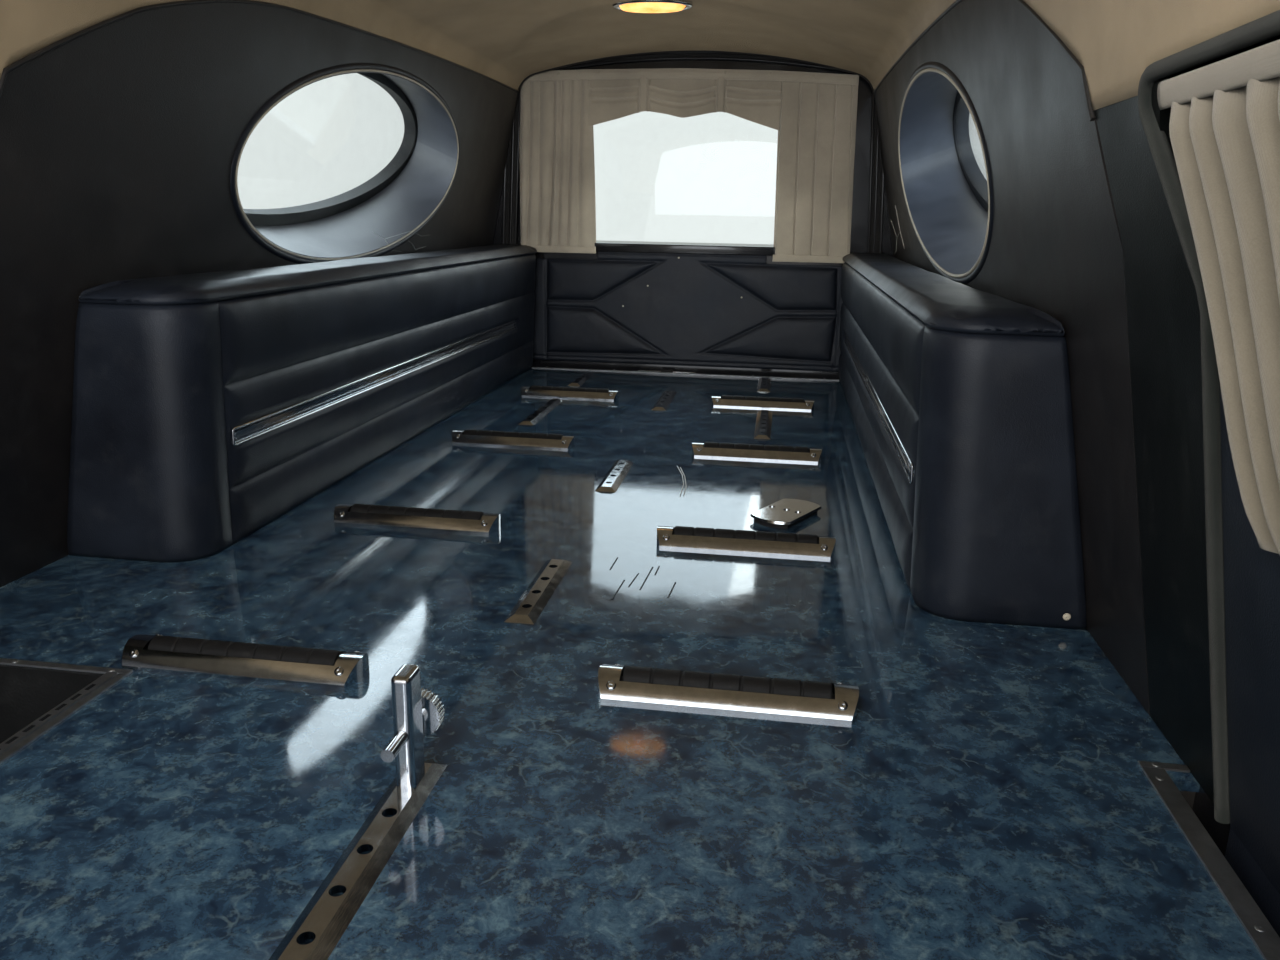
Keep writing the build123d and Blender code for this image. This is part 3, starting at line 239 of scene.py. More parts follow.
def vinyl(name="vinyl", dark=(13, 16, 23), light=(23, 28, 37), grain=640):
    f = Finish(name)
    tone = f.noise(7, 7, 0.6)
    pebble = f.cells(grain)
    pores = f.noise(grain * 0.45, 4, 0.6)
    height = f.combine("ADD", pebble, f.combine("MULTIPLY", pores, 0.5))
    dust = f.spread(f.noise(24, 8, 0.7), 0.0, 0.07, 0.52, 0.8)
    f.drive(Base_Color=f.blend(dust, f.colours(tone, (0.3, srgb(*dark)), (0.7, srgb(*light))), srgb(96, 98, 100)),
            Roughness=f.spread(tone, 0.36, 0.50, 0.3, 0.7),
            Normal=f.bump(height, 0.0004, 0.45))
    f.set(Specular_IOR_Level=0.5)
    return f


def cloth(name, dark, light, thread, sheen=0.3, rough=0.9, nap=0.0006):
    f = Finish(name)
    tone = f.noise(6, 7, 0.6)
    across = f.wave(thread, "X", 0.6)
    down = f.wave(thread, "Z", 0.6)
    along = f.wave(thread, "Y", 0.6)
    weave = f.combine("MULTIPLY", f.combine("ADD", across, down), f.combine("ADD", down, along))
    slubs = f.noise(thread * 1.4, 5, 0.7)
    height = f.combine("ADD", weave, slubs)
    base = f.colours(tone, (0.32, srgb(*dark)), (0.68, srgb(*light)))
    base = f.blend(f.spread(slubs, 0.0, 0.35, 0.4, 0.75), base, srgb(*[int(c * 0.72) for c in dark]))
    f.drive(Base_Color=base, Roughness=f.spread(tone, rough - 0.08, min(1.0, rough + 0.05)),
            Normal=f.bump(height, nap, 0.5))
    f.set(Sheen_Weight=sheen, Sheen_Roughness=0.5, Specular_IOR_Level=0.25)
    return f


def chrome(name="chrome", smooth=0.07, hazy=0.22):
    f = Finish(name)
    haze = f.noise(60, 8, 0.7)
    rub = f.noise(900, 3, 0.6, place=f.stretched((1.0, 0.08, 1.0)))
    f.drive(Base_Color=f.colours(haze, (0.35, srgb(196, 199, 203)), (0.7, srgb(224, 226, 228)), (0.86, srgb(168, 166, 162))),
            Roughness=f.spread(haze, smooth, hazy, 0.3, 0.8), Normal=f.bump(rub, 0.00015, 0.25))
    f.set(Metallic=1.0)
    return f


def aluminium():
    f = Finish("edging")
    lines = f.noise(700, 3, 0.7, place=f.stretched((1.0, 0.03, 1.0)))
    dirt = f.noise(40, 7, 0.65)
    f.drive(Base_Color=f.colours(dirt, (0.3, srgb(176, 178, 180)), (0.7, srgb(212, 214, 216))),
            Roughness=f.spread(lines, 0.38, 0.60), Normal=f.bump(lines, 0.0002, 0.4))
    f.set(Metallic=1.0)
    return f


def rubber(name="black_rubber", most_dust=0.5, black=(20, 20, 21)):
    f = Finish(name)
    grit = f.noise(340, 6, 0.75)
    dust = f.spread(f.noise(120, 6, 0.75), 0.0, most_dust, 0.55, 0.8)
    f.drive(Base_Color=f.blend(dust, srgb(*black), srgb(82, 80, 76)),
            Roughness=f.spread(grit, 0.5, 0.8), Normal=f.bump(grit, 0.0008, 0.5))
    return f


def glass():
    f = Finish("window_glass")
    clear = f.node("BsdfTransparent")
    clear.inputs["Color"].default_value = (0.90, 0.94, 0.93, 1.0)
    gloss = f.node("BsdfGlossy")
    gloss.inputs["Color"].default_value = (1.0, 1.0, 1.0, 1.0)
    gloss.inputs["Roughness"].default_value = 0.02
    film = f.node("BsdfDiffuse")
    film.inputs["Color"].default_value = (0.8, 0.8, 0.78, 1.0)
    facing = f.node("LayerWeight")
    facing.inputs["Blend"].default_value = 0.5
    edge = f.spread(f.combine("POWER", facing.outputs["Facing"], 5.0), 0.03, 0.8)
    sheet = f.node("MixShader")
    f.join(edge, sheet.inputs[0])
    f.join(clear.outputs[0], sheet.inputs[1])
    f.join(gloss.outputs[0], sheet.inputs[2])
    dirty = f.node("MixShader")
    f.join(f.spread(f.noise(26, 8, 0.75), 0.0, 0.03, 0.45, 0.85), dirty.inputs[0])
    f.join(sheet.outputs[0], dirty.inputs[1])
    f.join(film.outputs[0], dirty.inputs[2])
    f.tree.nodes.remove(f.shader)
    f.join(dirty.outputs[0], f.output.inputs["Surface"])
    return f


def lens(name="lens", deep=(255, 150, 62), pale=(255, 206, 128), strength=1.6, ribbing=260):
    f = Finish(name)
    ribs = f.wave(ribbing, "Y")
    glow = f.colours(f.noise(30, 3), (0.3, srgb(*deep)), (0.7, srgb(*pale)))
    f.drive(Base_Color=glow, Emission_Color=glow, Roughness=f.spread(ribs, 0.2, 0.4),
            Normal=f.bump(ribs, 0.001, 0.5))
    f.set(Emission_Strength=strength)
    return f


FINISHES = {
    "body_paint": body_paint(),
    "frame_paint": frame_paint(),
    "underseal": underseal(),
    "laminate": laminate(),
    "vinyl": vinyl(),
    "headlining": cloth("headlining", (146, 131, 105), (168, 151, 123), 900, 0.15, 0.95, 0.0008),
    "drape": cloth("drape", (106, 101, 89), (123, 117, 104), 620, 0.35, 0.85, 0.0006),
    "chrome": chrome(),
    "edging": aluminium(),
    "black_rubber": rubber(),
    "window_glass": glass(),
    "lens": lens(),
}
FLOCK = cloth("flock", (26, 30, 29), (46, 51, 49), 1400, 0.10, 1.0, 0.0016)
# Quarter boards: a warmer, lighter copy of the vinyl; the warmth is painted light, standing in for warm light on the
# upper walls.
BOARD_VINYL_WARM_LIT = vinyl("board_vinyl_painted_warm_light", (17, 17, 19), (31, 29, 29), 640)
# Pillar trims: a darker, duller copy of the vinyl; the darkness is painted shade, standing in for the shadow on the
# door pillars.
PILLAR_VINYL_SHADED = vinyl("pillar_vinyl_painted_shade", (6, 8, 8), (12, 15, 15), 640)
PILLAR_VINYL_SHADED.set(Specular_IOR_Level=0.25)
WELL_PAINT = vinyl("well_paint", (9, 10, 11), (17, 18, 19), 300)
ROLLER_RUBBER = rubber("roller_rubber", 0.12, (9, 9, 10))
SOFT_CHROME = chrome("soft_chrome", 0.10, 0.18)
REAR_DRAPE = cloth("rear_drape", (158, 153, 142), (184, 178, 165), 620, 0.35, 0.85, 0.0006)
# Oval sleeves: a lighter, bluer copy of the vinyl; the extra lightness is painted light from the windows falling on the
# sleeves.
SLEEVE_PAINTED_LIGHT = vinyl("sleeve_vinyl_painted_light", (40, 44, 52), (62, 66, 76), 700)
RED_LENS = lens("red_lens", (112, 6, 8), (158, 16, 14), 0.0, 160)
MARK_LIGHT = vinyl("light_scratch", (168, 172, 170), (204, 206, 202), 900)
# Dark marks: the deck's real dark scores, and painted shade in the edging strip's slots.
DARK_MARK_AND_SLOT_SHADE = vinyl("dark_scratch_and_slot_shade", (8, 9, 11), (18, 20, 24), 900)
LIGHT_PIPING = vinyl("light_piping", (150, 146, 134), (178, 172, 158), 900)
DARK_PIPING = vinyl("dark_piping", (20, 20, 22), (36, 35, 35), 900)

# Finishes for single parts; those of the oval sleeves, quarter boards and pillar trims carry painted light and painted
# shade.
LOOKS_AND_PAINTED_LIGHT = {
    "oval_sleeves": SLEEVE_PAINTED_LIGHT,
    "quarter_boards": BOARD_VINYL_WARM_LIT,
    "pillar_trims": PILLAR_VINYL_SHADED,
    "box_strips": SOFT_CHROME,
    "step_well": WELL_PAINT,
}
for entry in frame["record"]["subparts"]:
    node = NODES[entry["node"]]
    look = LOOKS_AND_PAINTED_LIGHT.get(entry["node"], FINISHES[entry["material_slot"]])
    if entry["node"].startswith("roller_") and entry["node"] != "roller_bezels":
        look = ROLLER_RUBBER
    material = look.material
    if not node.material_slots:
        node.data.materials.append(material)
    for slot in node.material_slots:
        slot.material = material


# Meshes


def piece(name, points, faces, slot, body="compartment", material=None, smooth=True):
    """A mesh piece that rides on a body."""
    mesh = bpy.data.meshes.new(name)
    mesh.from_pydata([tuple(p) for p in points], [], [tuple(f) for f in faces])
    mesh.update()
    mesh.validate()
    mesh.materials.append((material or FINISHES[slot]).material)
    mesh.polygons.foreach_set("use_smooth", [smooth] * len(mesh.polygons))
    made = bpy.data.objects.new(name, mesh)
    bpy.context.scene.collection.objects.link(made)
    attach(made, body)
    return made


def quads(rows, columns, closed=False, first=0):
    """Faces of a grid of points."""
    faces = []
    for r in range(rows - 1):
        for c in range(columns if closed else columns - 1):
            d = (c + 1) % columns
            a = first + r * columns
            faces.append((a + c, a + d, a + columns + d, a + columns + c))
    return faces


def normals(grid):
    """Unit normals of a grid of points."""
    across = np.gradient(grid, axis=1)
    down = np.gradient(grid, axis=0)
    out = np.cross(across, down)
    return out / np.maximum(np.linalg.norm(out, axis=2, keepdims=True), 1e-12)


def skin(name, grid, thickness, slot, body="compartment", material=None):
    """A closed sheet: the given points show, and its back lies behind them by a thickness."""
    rows, columns = grid.shape[:2]
    back = grid - normals(grid) * thickness
    points = np.concatenate([grid.reshape(-1, 3), back.reshape(-1, 3)])
    size = rows * columns
    front_faces = quads(rows, columns)
    back_faces = [tuple(i + size for i in reversed(face)) for face in front_faces]
    rim = [c for c in range(columns)]
    rim += [r * columns + columns - 1 for r in range(1, rows)]
    rim += [(rows - 1) * columns + c for c in range(columns - 2, -1, -1)]
    rim += [r * columns for r in range(rows - 2, 0, -1)]
    edge_faces = []
    for i, a in enumerate(rim):
        b = rim[(i + 1) % len(rim)]
        edge_faces.append((b, a, a + size, b + size))
    made = piece(name, points, front_faces + back_faces + edge_faces, slot, body, material)
    return made


def tube(name, path, radius, slot, body="compartment", material=None, sides=8, flat=1.0):
    """A bar of round or flattened section along a path of points."""
    path = np.array(path, float)
    tangents = np.gradient(path, axis=0)
    tangents /= np.linalg.norm(tangents, axis=1, keepdims=True)
    side = np.cross(tangents[0], (0.0, 0.0, 1.0))
    if np.linalg.norm(side) < 1e-6:
        side = np.array((1.0, 0.0, 0.0))
    rings = []
    for point, tangent in zip(path, tangents):
        side = side - tangent * np.dot(side, tangent)
        side /= np.linalg.norm(side)
        up = np.cross(side, tangent)
        rings.append([point + radius * (math.cos(a) * side + flat * math.sin(a) * up)
                      for a in np.linspace(0, 2 * math.pi, sides, endpoint=False)])
    rings = np.array(rings)
    faces = quads(len(path), sides, closed=True)
    last = (len(path) - 1) * sides
    faces.append(tuple(range(sides)))
    faces.append(tuple(last + i for i in reversed(range(sides))))
    return piece(name, rings.reshape(-1, 3), faces, slot, body, material)


def dots(name, places, radius, height, slot, body="compartment", material=None, cross=True):
    """Small domed screw heads with a cross recess, as one piece: places are (point, normal)."""
    points, faces = [], []
    sides = 16
    rings = ((1.0, 0.0), (1.0, 0.35), (0.82, 0.75), (0.5, 0.96), (0.22, 1.0), (0.14, 0.72 if cross else 1.02))
    for centre, normal in places:
        normal = np.array(normal, float)
        normal /= np.linalg.norm(normal)
        side = np.cross(normal, (0.0, 0.0, 1.0))
        if np.linalg.norm(side) < 0.1:
            side = np.cross(normal, (0.0, 1.0, 0.0))
        side /= np.linalg.norm(side)
        up = np.cross(normal, side)
        first = len(points)
        for scale, lift in rings:
            for i in range(sides):
                angle = 2 * math.pi * i / sides
                reach = radius * scale
                if cross and scale < 0.3:
                    reach *= 1.0 + 0.7 * math.cos(4 * angle)
                points.append(np.array(centre) + reach * (math.cos(angle) * side + math.sin(angle) * up)
                              + normal * height * lift)
        faces += quads(len(rings), sides, closed=True, first=first)
        faces.append(tuple(first + (len(rings) - 1) * sides + i for i in range(sides)))
        faces.append(tuple(first + i for i in reversed(range(sides))))
    return piece(name, points, faces, slot, body, material)


def ripple(points, scale, seed):
    """Smooth noise at points, about -1 to 1."""
    flat = points.reshape(-1, 3)
    shift = Vector((seed * 7.31, seed * 3.77, seed * 5.13))
    values = np.array([noise.noise(Vector(p) * scale + shift) for p in flat])
    return values.reshape(points.shape[:-1])


def cut_size(grid, length):
    """Flat width and length of a gathered cloth, from the run of its widest row."""
    runs = np.linalg.norm(np.diff(grid, axis=1), axis=2).sum(axis=1)
    return round(float(runs.max()), 2), length


def spaced(low, high, step):
    return np.linspace(low, high, max(2, int(round((high - low) / step)) + 1))


# Wheel boxes and lids

BOX_FOOT, BOX_LEAN, BOX_TOP, BOX_CORNER = 0.51, 0.04, 0.373, 0.06
BOX_FRONT, BOX_END, SEAM = at(1410), at(3335), at(1500)
TUCKS = (0.09, 0.249)
STRIP_HEIGHT = 0.1695


def box_cover(side, name):
    """Padded vinyl over a wheel box: sewn tucks along it and an upright seam near the front."""
    heights = np.unique(np.concatenate([spaced(0.0, BOX_TOP, 0.008)]
                                       + [t + np.linspace(-0.008, 0.008, 9) for t in TUCKS]))
    outer = np.linspace(0, 1, 14)
    turn = np.linspace(0, math.pi / 2, 10)[1:]
    run = np.unique(np.concatenate([spaced(BOX_FRONT + BOX_CORNER, BOX_END, 0.010)[1:],
                                    SEAM + np.linspace(-0.006, 0.006, 5)]))
    grid, away = [], []
    for h in heights:
        inner = BOX_FOOT - BOX_LEAN * h
        edge = WALL_FOOT - WALL_LEAN * h - 0.001
        row, out = [], []
        for t in outer:
            row.append((edge + (inner + BOX_CORNER - edge) * t, BOX_FRONT))
            out.append((0.0, -1.0))
        for a in turn:
            row.append((inner + BOX_CORNER - BOX_CORNER * math.sin(a),
                        BOX_FRONT + BOX_CORNER - BOX_CORNER * math.cos(a)))
            out.append((-math.sin(a), -math.cos(a)))
        for y in run:
            row.append((inner, y))
            out.append((-1.0, 0.0))
        grid.append([(x, y, DECK + h) for x, y in row])
        away.append([(x, y, 0.0) for x, y in out])
    grid, away = np.array(grid), np.array(away)
    h = grid[..., 2] - DECK
    y = grid[..., 1]
    channelled = y > SEAM
    near = np.minimum(np.minimum(h, BOX_TOP - h), np.abs(y - SEAM))
    near = np.minimum(near, np.abs(y - BOX_END))
    for tuck in TUCKS:
        near = np.where(channelled, np.minimum(near, np.abs(h - tuck)), near)
    swell = np.where(channelled, 0.0105, 0.0065)
    puff = swell * (1 - np.exp(-near / 0.016))
    dip = np.exp(-((h - STRIP_HEIGHT) / 0.0145) ** 6) * ease((y - SEAM) / 0.03) * ease((at(3110) - y) / 0.02)
    puff *= 1 - 0.97 * dip
    pucker = ripple(grid * (1.0, 1.0, 0.5), 26, 3) * np.exp(-near / 0.02) * 0.0012
    sag = ripple(grid, 5, 8) * 0.0014
    grid = grid + away * (puff + (pucker + sag) * (1 - dip))[..., None]
    grid[..., 0] *= side
    if side < 0:
        grid = grid[:, ::-1]
    made = skin(name, grid[:, ::-1], 0.006, "vinyl")
    return made


STRIP_ENDS = (at(1508), at(3112))
STRIP_HALF, RIM_BEND, RIM_LIFT = 0.0128, 0.003, 0.0062


def strip_rim(side, name):
    """The bright turned edge round a wheel box's chrome strip, with square ends."""
    corners = ((STRIP_ENDS[1], 1, 0.0), (STRIP_ENDS[0], 1, 0.5), (STRIP_ENDS[0], -1, 1.0),
               (STRIP_ENDS[1], -1, 1.5), (STRIP_ENDS[1], 1, 2.0))
    path = []
    for y, up, turns in corners:
        inward = RIM_BEND if y == STRIP_ENDS[0] else -RIM_BEND
        for angle in np.linspace(turns * math.pi, (turns + 0.5) * math.pi, 5):
            path.append((y + inward + RIM_BEND * math.cos(angle),
                         up * (STRIP_HALF - RIM_BEND) + RIM_BEND * math.sin(angle)))
    places = []
    for y, height in path[:-1]:
        h = STRIP_HEIGHT + height
        places.append(((BOX_FOOT - BOX_LEAN * h - RIM_LIFT) * side, y, DECK + h))
    return tube(name, places, 0.0021, "chrome")


strip_rim(1, "strip_rim_left")
strip_rim(-1, "strip_rim_right")

covers = [box_cover(1, "box_cover_left"), box_cover(-1, "box_cover_right")]
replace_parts(covers[0], "wheel_boxes")

LID_FRONT, LID_END, LID_FOOT = at(1404), at(3335), DECK + BOX_TOP
LID_INNER = BOX_FOOT - BOX_LEAN * BOX_TOP - 0.006
LID_CORNER, LID_TOP_ROLL, LID_UNDER_ROLL = 0.066, 0.012, 0.006


def lid_cushion(side, name):
    """Padded lid with a rolled edge."""
    rows = np.unique(np.concatenate([LID_FRONT + LID_CORNER * (1 - np.cos(np.linspace(0, math.pi / 2, 14))),
                                     spaced(LID_FRONT + LID_CORNER, LID_END, 0.010)]))
    shares = (1 - np.cos(np.linspace(0, math.pi, 42))) / 2
    top, under = [], []
    for y in rows:
        back = max(0.0, LID_FRONT + LID_CORNER - y)
        inner = LID_INNER + LID_CORNER - math.sqrt(max(0.0, LID_CORNER ** 2 - back ** 2))
        outer = WALL_FOOT - WALL_LEAN * (BOX_TOP + 0.018) - 0.0005
        for store in (top, under):
            store.append([(inner + (outer - inner) * s, y, 0.0) for s in shares])
    top, under = np.array(top), np.array(under)
    x, y = top[..., 0], top[..., 1]
    corner = (x < LID_INNER + LID_CORNER) & (y < LID_FRONT + LID_CORNER)
    round_edge = LID_CORNER - np.hypot(x - LID_INNER - LID_CORNER, y - LID_FRONT - LID_CORNER)
    near = np.where(corner, round_edge, np.minimum(x - LID_INNER, y - LID_FRONT))
    near = np.maximum(near, 0.0)

    def roll(radius):
        inside = np.clip(radius - near, 0.0, radius)
        return radius - np.sqrt(np.maximum(radius ** 2 - inside ** 2, 0.0))

    outer_gap = np.clip((x.max() - x) / 0.018, 0, 1)
    crown = 0.0045 * (1 - np.exp(-near / 0.03)) * ease(outer_gap)
    swell = ripple(top, 6, 2) * 0.0012 * ease(near / 0.02) + ripple(top * (1.0, 0.4, 1.0), 40, 5) * 0.0004
    top[..., 2] = LID_FOOT + 0.018 - roll(LID_TOP_ROLL) + crown + swell * ease(near / 0.01)
    under[..., 2] = LID_FOOT + roll(LID_UNDER_ROLL)
    for grid in (top, under):
        grid[..., 0] *= side
    size = top.shape[0] * top.shape[1]
    points = np.concatenate([top.reshape(-1, 3), under.reshape(-1, 3)])
    faces = quads(*top.shape[:2])
    lower = [tuple(i + size for i in reversed(f)) for f in faces]
    rows_n, cols_n = top.shape[:2]
    rim = list(range(cols_n)) + [r * cols_n + cols_n - 1 for r in range(1, rows_n)]
    rim += [(rows_n - 1) * cols_n + c for c in range(cols_n - 2, -1, -1)] + [r * cols_n for r in range(rows_n - 2, 0, -1)]
    walls = [(rim[(i + 1) % len(rim)], a, a + size, rim[(i + 1) % len(rim)] + size) for i, a in enumerate(rim)]
    faces = faces + lower + walls
    if side < 0:
        faces = [tuple(reversed(f)) for f in faces]
    return piece(name, points, faces, "vinyl")


def swell(cushion, held, pressure, most):
    """Blow a cushion's cover up by cloth simulation, some of its points held, and keep the result."""
    group = cushion.vertex_groups.new(name="held")
    group.add(held, 1.0, "REPLACE")
    cloth_modifier = cushion.modifiers.new("swell", "CLOTH")
    settings = cloth_modifier.settings
    settings.vertex_group_mass = "held"
    settings.use_pressure = True
    settings.uniform_pressure_force = pressure
    settings.effector_weights.gravity = 0.0
    for frame_number in range(1, 21):
        bpy.context.scene.frame_set(frame_number)
    swollen = cushion.evaluated_get(bpy.context.evaluated_depsgraph_get())
    ends = [vertex.co.copy() for vertex in swollen.data.vertices]
    cushion.modifiers.remove(cloth_modifier)
    cushion.vertex_groups.remove(group)
    bpy.context.scene.frame_set(1)
    for vertex, end in zip(cushion.data.vertices, ends):
        move = end - vertex.co
        if move.length > most:
            move.length = most
        vertex.co = vertex.co + move
    cushion.data.update()


lids = [lid_cushion(1, "lid_cushion_left"), lid_cushion(-1, "lid_cushion_right")]
for lid in lids:
    count = len(lid.data.vertices)
    swell(lid, list(range(count // 2, count)), 4.0, 0.006)
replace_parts(lids[0], "wheel_box_lids")


# Rear door panel

PANEL_HALF, PANEL_FOOT, PANEL_TOP, PANEL_TAB = 0.565, 0.02, 0.358, 0.402
TAB_RIGHT, TAB_LEFT = -0.296, 0.256
PANEL_Y = at(3372)
FIELDS = (
    # padded fields, as corners (x, rise) in turn
    ((-0.463, 0.354), (-0.466, 0.223), (-0.306, 0.226), (-0.085, 0.356)),
    ((-0.466, 0.200), (-0.468, 0.048), (-0.068, 0.056), (-0.306, 0.198)),
    ((0.052, 0.355), (0.297, 0.213), (0.483, 0.218), (0.478, 0.350)),
    ((0.298, 0.190), (0.060, 0.066), (0.478, 0.052), (0.485, 0.196)),
)
SEAMS = (
    # plain seams: x, rise to x, rise
    (-0.470, 0.030, -0.470, 0.358),
    (0.488, 0.030, 0.488, 0.358),
    (-0.565, 0.034, 0.565, 0.034),
    (-0.300, 0.381, 0.260, 0.381),
)


def inside_field(x, h, corners):
    """Distance inside a field with straight edges, negative outside it."""
    inner = np.full(x.shape, 1.0)
    for (x0, h0), (x1, h1) in zip(corners, corners[1:] + corners[:1]):
        run = math.hypot(x1 - x0, h1 - h0)
        inner = np.minimum(inner, ((x1 - x0) * (h - h0) - (h1 - h0) * (x - x0)) / run)
    return inner


def rear_panel():
    """Padded door trim: four fields round a blunt diamond, sewn down along their edges."""
    xs = spaced(-PANEL_HALF, PANEL_HALF, 0.0030)
    hs = spaced(PANEL_FOOT, PANEL_TAB, 0.0030)
    x, h = np.meshgrid(xs, hs)
    edge = np.minimum(np.minimum(PANEL_HALF - np.abs(x), h - PANEL_FOOT), PANEL_TAB - h)
    lift = 0.0030 * ease(edge / 0.012)
    for corners in FIELDS:
        inner = inside_field(x, h, corners)
        lift = lift + 0.0085 * (1 - np.exp(-np.maximum(inner, 0) / 0.013))
        lift = lift - 0.0040 * np.exp(-(inner / 0.0042) ** 2)
    for x0, h0, x1, h1 in SEAMS:
        length2 = (x1 - x0) ** 2 + (h1 - h0) ** 2
        t = np.clip(((x - x0) * (x1 - x0) + (h - h0) * (h1 - h0)) / length2, 0, 1)
        near = np.hypot(x - x0 - t * (x1 - x0), h - h0 - t * (h1 - h0))
        lift = lift - 0.0030 * np.exp(-(near / 0.0038) ** 2)
    outside = np.maximum(ease((TAB_RIGHT - x) / 0.008 + 0.5), ease((x - TAB_LEFT) / 0.008 + 0.5))
    lift = np.where(h > PANEL_TOP - 0.01, lift * (1 - outside * (1 - ease((PANEL_TOP - h) / 0.01))), lift)
    grid = np.stack([x, np.full(x.shape, PANEL_Y), DECK + h], axis=-1)
    lift = lift + ripple(grid, 14, 4) * 0.0007 + ripple(grid, 48, 9) * 0.00025
    grid[..., 1] -= lift
    keep = (h <= PANEL_TOP + 1e-6) | ((x >= TAB_RIGHT) & (x <= TAB_LEFT))
    rows, columns = x.shape
    faces = [f for f in quads(rows, columns) if all(keep[i // columns, i % columns] for i in f)]
    used = sorted({i for f in faces for i in f})
    index = {old: new for new, old in enumerate(used)}
    points = grid.reshape(-1, 3)[used]
    made = piece("rear_panel_padding", points, [tuple(index[i] for i in f) for f in faces], "vinyl", "rear_door")
    thick = made.modifiers.new("thickness", "SOLIDIFY")
    thick.thickness = 0.006
    thick.offset = -1.0
    return made


panel = rear_panel()
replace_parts(panel, "rear_door_panel")


# Rear drapes and valance

DRAPE_Y = at(3367)
PLEAT_DEPTH = 0.015
HEADER = (
    # x, rise of the header band's top edge
    (-0.547, 0.928), (-0.300, 0.934), (-0.030, 0.9365), (0.250, 0.930), (0.500, 0.917),
)
BAND = 0.030
DRAPE_LEFT = (
    # edges and fold valleys: x at the head, x at the waist, x at the foot
    (-0.549, -0.552, -0.552), (-0.512, -0.521, -0.534), (-0.482, -0.487, -0.494), (-0.437, -0.442, -0.462),
    (-0.411, -0.420, -0.428), (-0.385, -0.388, -0.398), (-0.347, -0.358, -0.360), (-0.318, -0.306, -0.299),
)
DRAPE_RIGHT = (
    (0.265, 0.270, 0.274), (0.325, 0.330, 0.334), (0.377, 0.383, 0.389), (0.431, 0.436, 0.441),
    (0.480, 0.492, 0.500), (0.500, 0.506, 0.513),
)


def header_top(x):
    """Rise of the header band's top edge, a soft bow."""
    return np.interp(x, *zip(*HEADER))


def drape(name, lines, foot, pressed):
    """Window drape in pleats between lines that run from its head to its foot."""
    lines = np.array(lines)
    shares = np.linspace(0, 1, 220)
    down = np.linspace(0, 1, 64)
    grid = np.zeros((len(down), len(shares), 3))
    for row, t in enumerate(down):
        weights = np.array(((1 - t) * (1 - 2 * t), 4 * t * (1 - t), t * (2 * t - 1)))
        edges = lines @ weights
        x = edges[0] + (edges[-1] - edges[0]) * shares
        number = np.clip(np.searchsorted(edges, x, side="right") - 1, 0, len(edges) - 2)
        u = (x - edges[number]) / (edges[number + 1] - edges[number])
        if pressed:
            depth = 0.55 + 0.45 * (1 - u) ** 0.8
            depth = depth * ease((u - 0.09) / 0.05)
        else:
            round_top = np.sin(math.pi * np.clip((u - 0.08) / 0.86, 0, 1))
            depth = round_top ** 0.7 * (0.80 + 0.20 * np.sin(number * 2.3 + 1))
        settle = 0.65 + 0.35 * float(ease(t / 0.10)) * float(ease((1 - t) / 0.04))
        head = header_top(x) - BAND + 0.006
        z = head + (foot - head) * t
        wave = ripple(np.stack([x * 9, z * 3.5, x * 0], axis=-1)[None], 1.0, 9)[0] * 0.0018
        grid[row, :, 0] = x
        grid[row, :, 1] = DRAPE_Y - PLEAT_DEPTH * depth * settle + wave * float(ease(t / 0.2))
        grid[row, :, 2] = DECK + z
    grid = grid[::-1]
    made = skin(name, grid, 0.0012, "drape", "rear_door", REAR_DRAPE)
    return made, cut_size(grid, round(0.905 - foot, 2))


header_xs = spaced(HEADER[0][0], HEADER[-1][0], 0.006)
x, h = np.meshgrid(header_xs, np.linspace(-BAND, 0.0, 13))
z = header_top(x) + h
edge = np.minimum(-h, BAND + h)
puff = 0.0030 * (1 - np.exp(-edge / 0.004)) - 0.0022 * np.exp(-((edge - 0.0060) / 0.0016) ** 2)
puff = puff + ripple(np.stack([x, h * 0, z], axis=-1), 22, 3) * 0.0008
header = skin("drape_header", np.stack([x, at(3355.5) - puff, DECK + z], axis=-1), 0.0030, "drape", "rear_door",
              REAR_DRAPE)

drapes = []
for name, lines, foot, pressed in (("drape_left", DRAPE_LEFT, 0.378, False),
                                   ("drape_right", DRAPE_RIGHT, 0.367, True)):
    made, cut = drape(name, lines, foot, pressed)
    low, high = lines[0][2], lines[-1][2]
    x, h = np.meshgrid(spaced(low - 0.001, high + 0.001, 0.005), np.linspace(-0.011, 0.011, 9))
    puff = 0.0016 * np.sqrt(np.clip(1 - (h / 0.0115) ** 2, 0, 1)) + ripple(np.stack([x, h, h], axis=-1), 60, 3) * 0.0008
    hem = skin(f"{name}_hem", np.stack([x, DRAPE_Y - 0.0128 - puff, DECK + foot + 0.010 + h], axis=-1), 0.002,
               "drape", "rear_door", REAR_DRAPE)
    drapes.append(made)
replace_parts(drapes[0], "rear_drapes")

VALANCE_FOOT = (
    # x, rise of the scalloped foot
    (-0.322, 0.766), (-0.299, 0.773), (-0.227, 0.791), (-0.165, 0.809), (-0.138, 0.813), (-0.075, 0.804),
    (-0.028, 0.793), (0.025, 0.802), (0.075, 0.811), (0.104, 0.811), (0.174, 0.788), (0.249, 0.765), (0.272, 0.758),
)
TUCK_LINES = (
    # x, rise of the two sewn tucks across the swags
    ((-0.322, 0.878), (-0.235, 0.880), (-0.165, 0.886), (-0.136, 0.887), (-0.085, 0.875), (-0.031, 0.867),
     (0.025, 0.874), (0.070, 0.886), (0.104, 0.885), (0.170, 0.876), (0.272, 0.872)),
    ((-0.322, 0.851), (-0.235, 0.850), (-0.165, 0.856), (-0.136, 0.856), (-0.085, 0.842), (-0.031, 0.834),
     (0.025, 0.841), (0.070, 0.855), (0.104, 0.853), (0.170, 0.845), (0.272, 0.846)),
)
BOX_PLEATS = ((-0.163, -0.140), (0.077, 0.099))


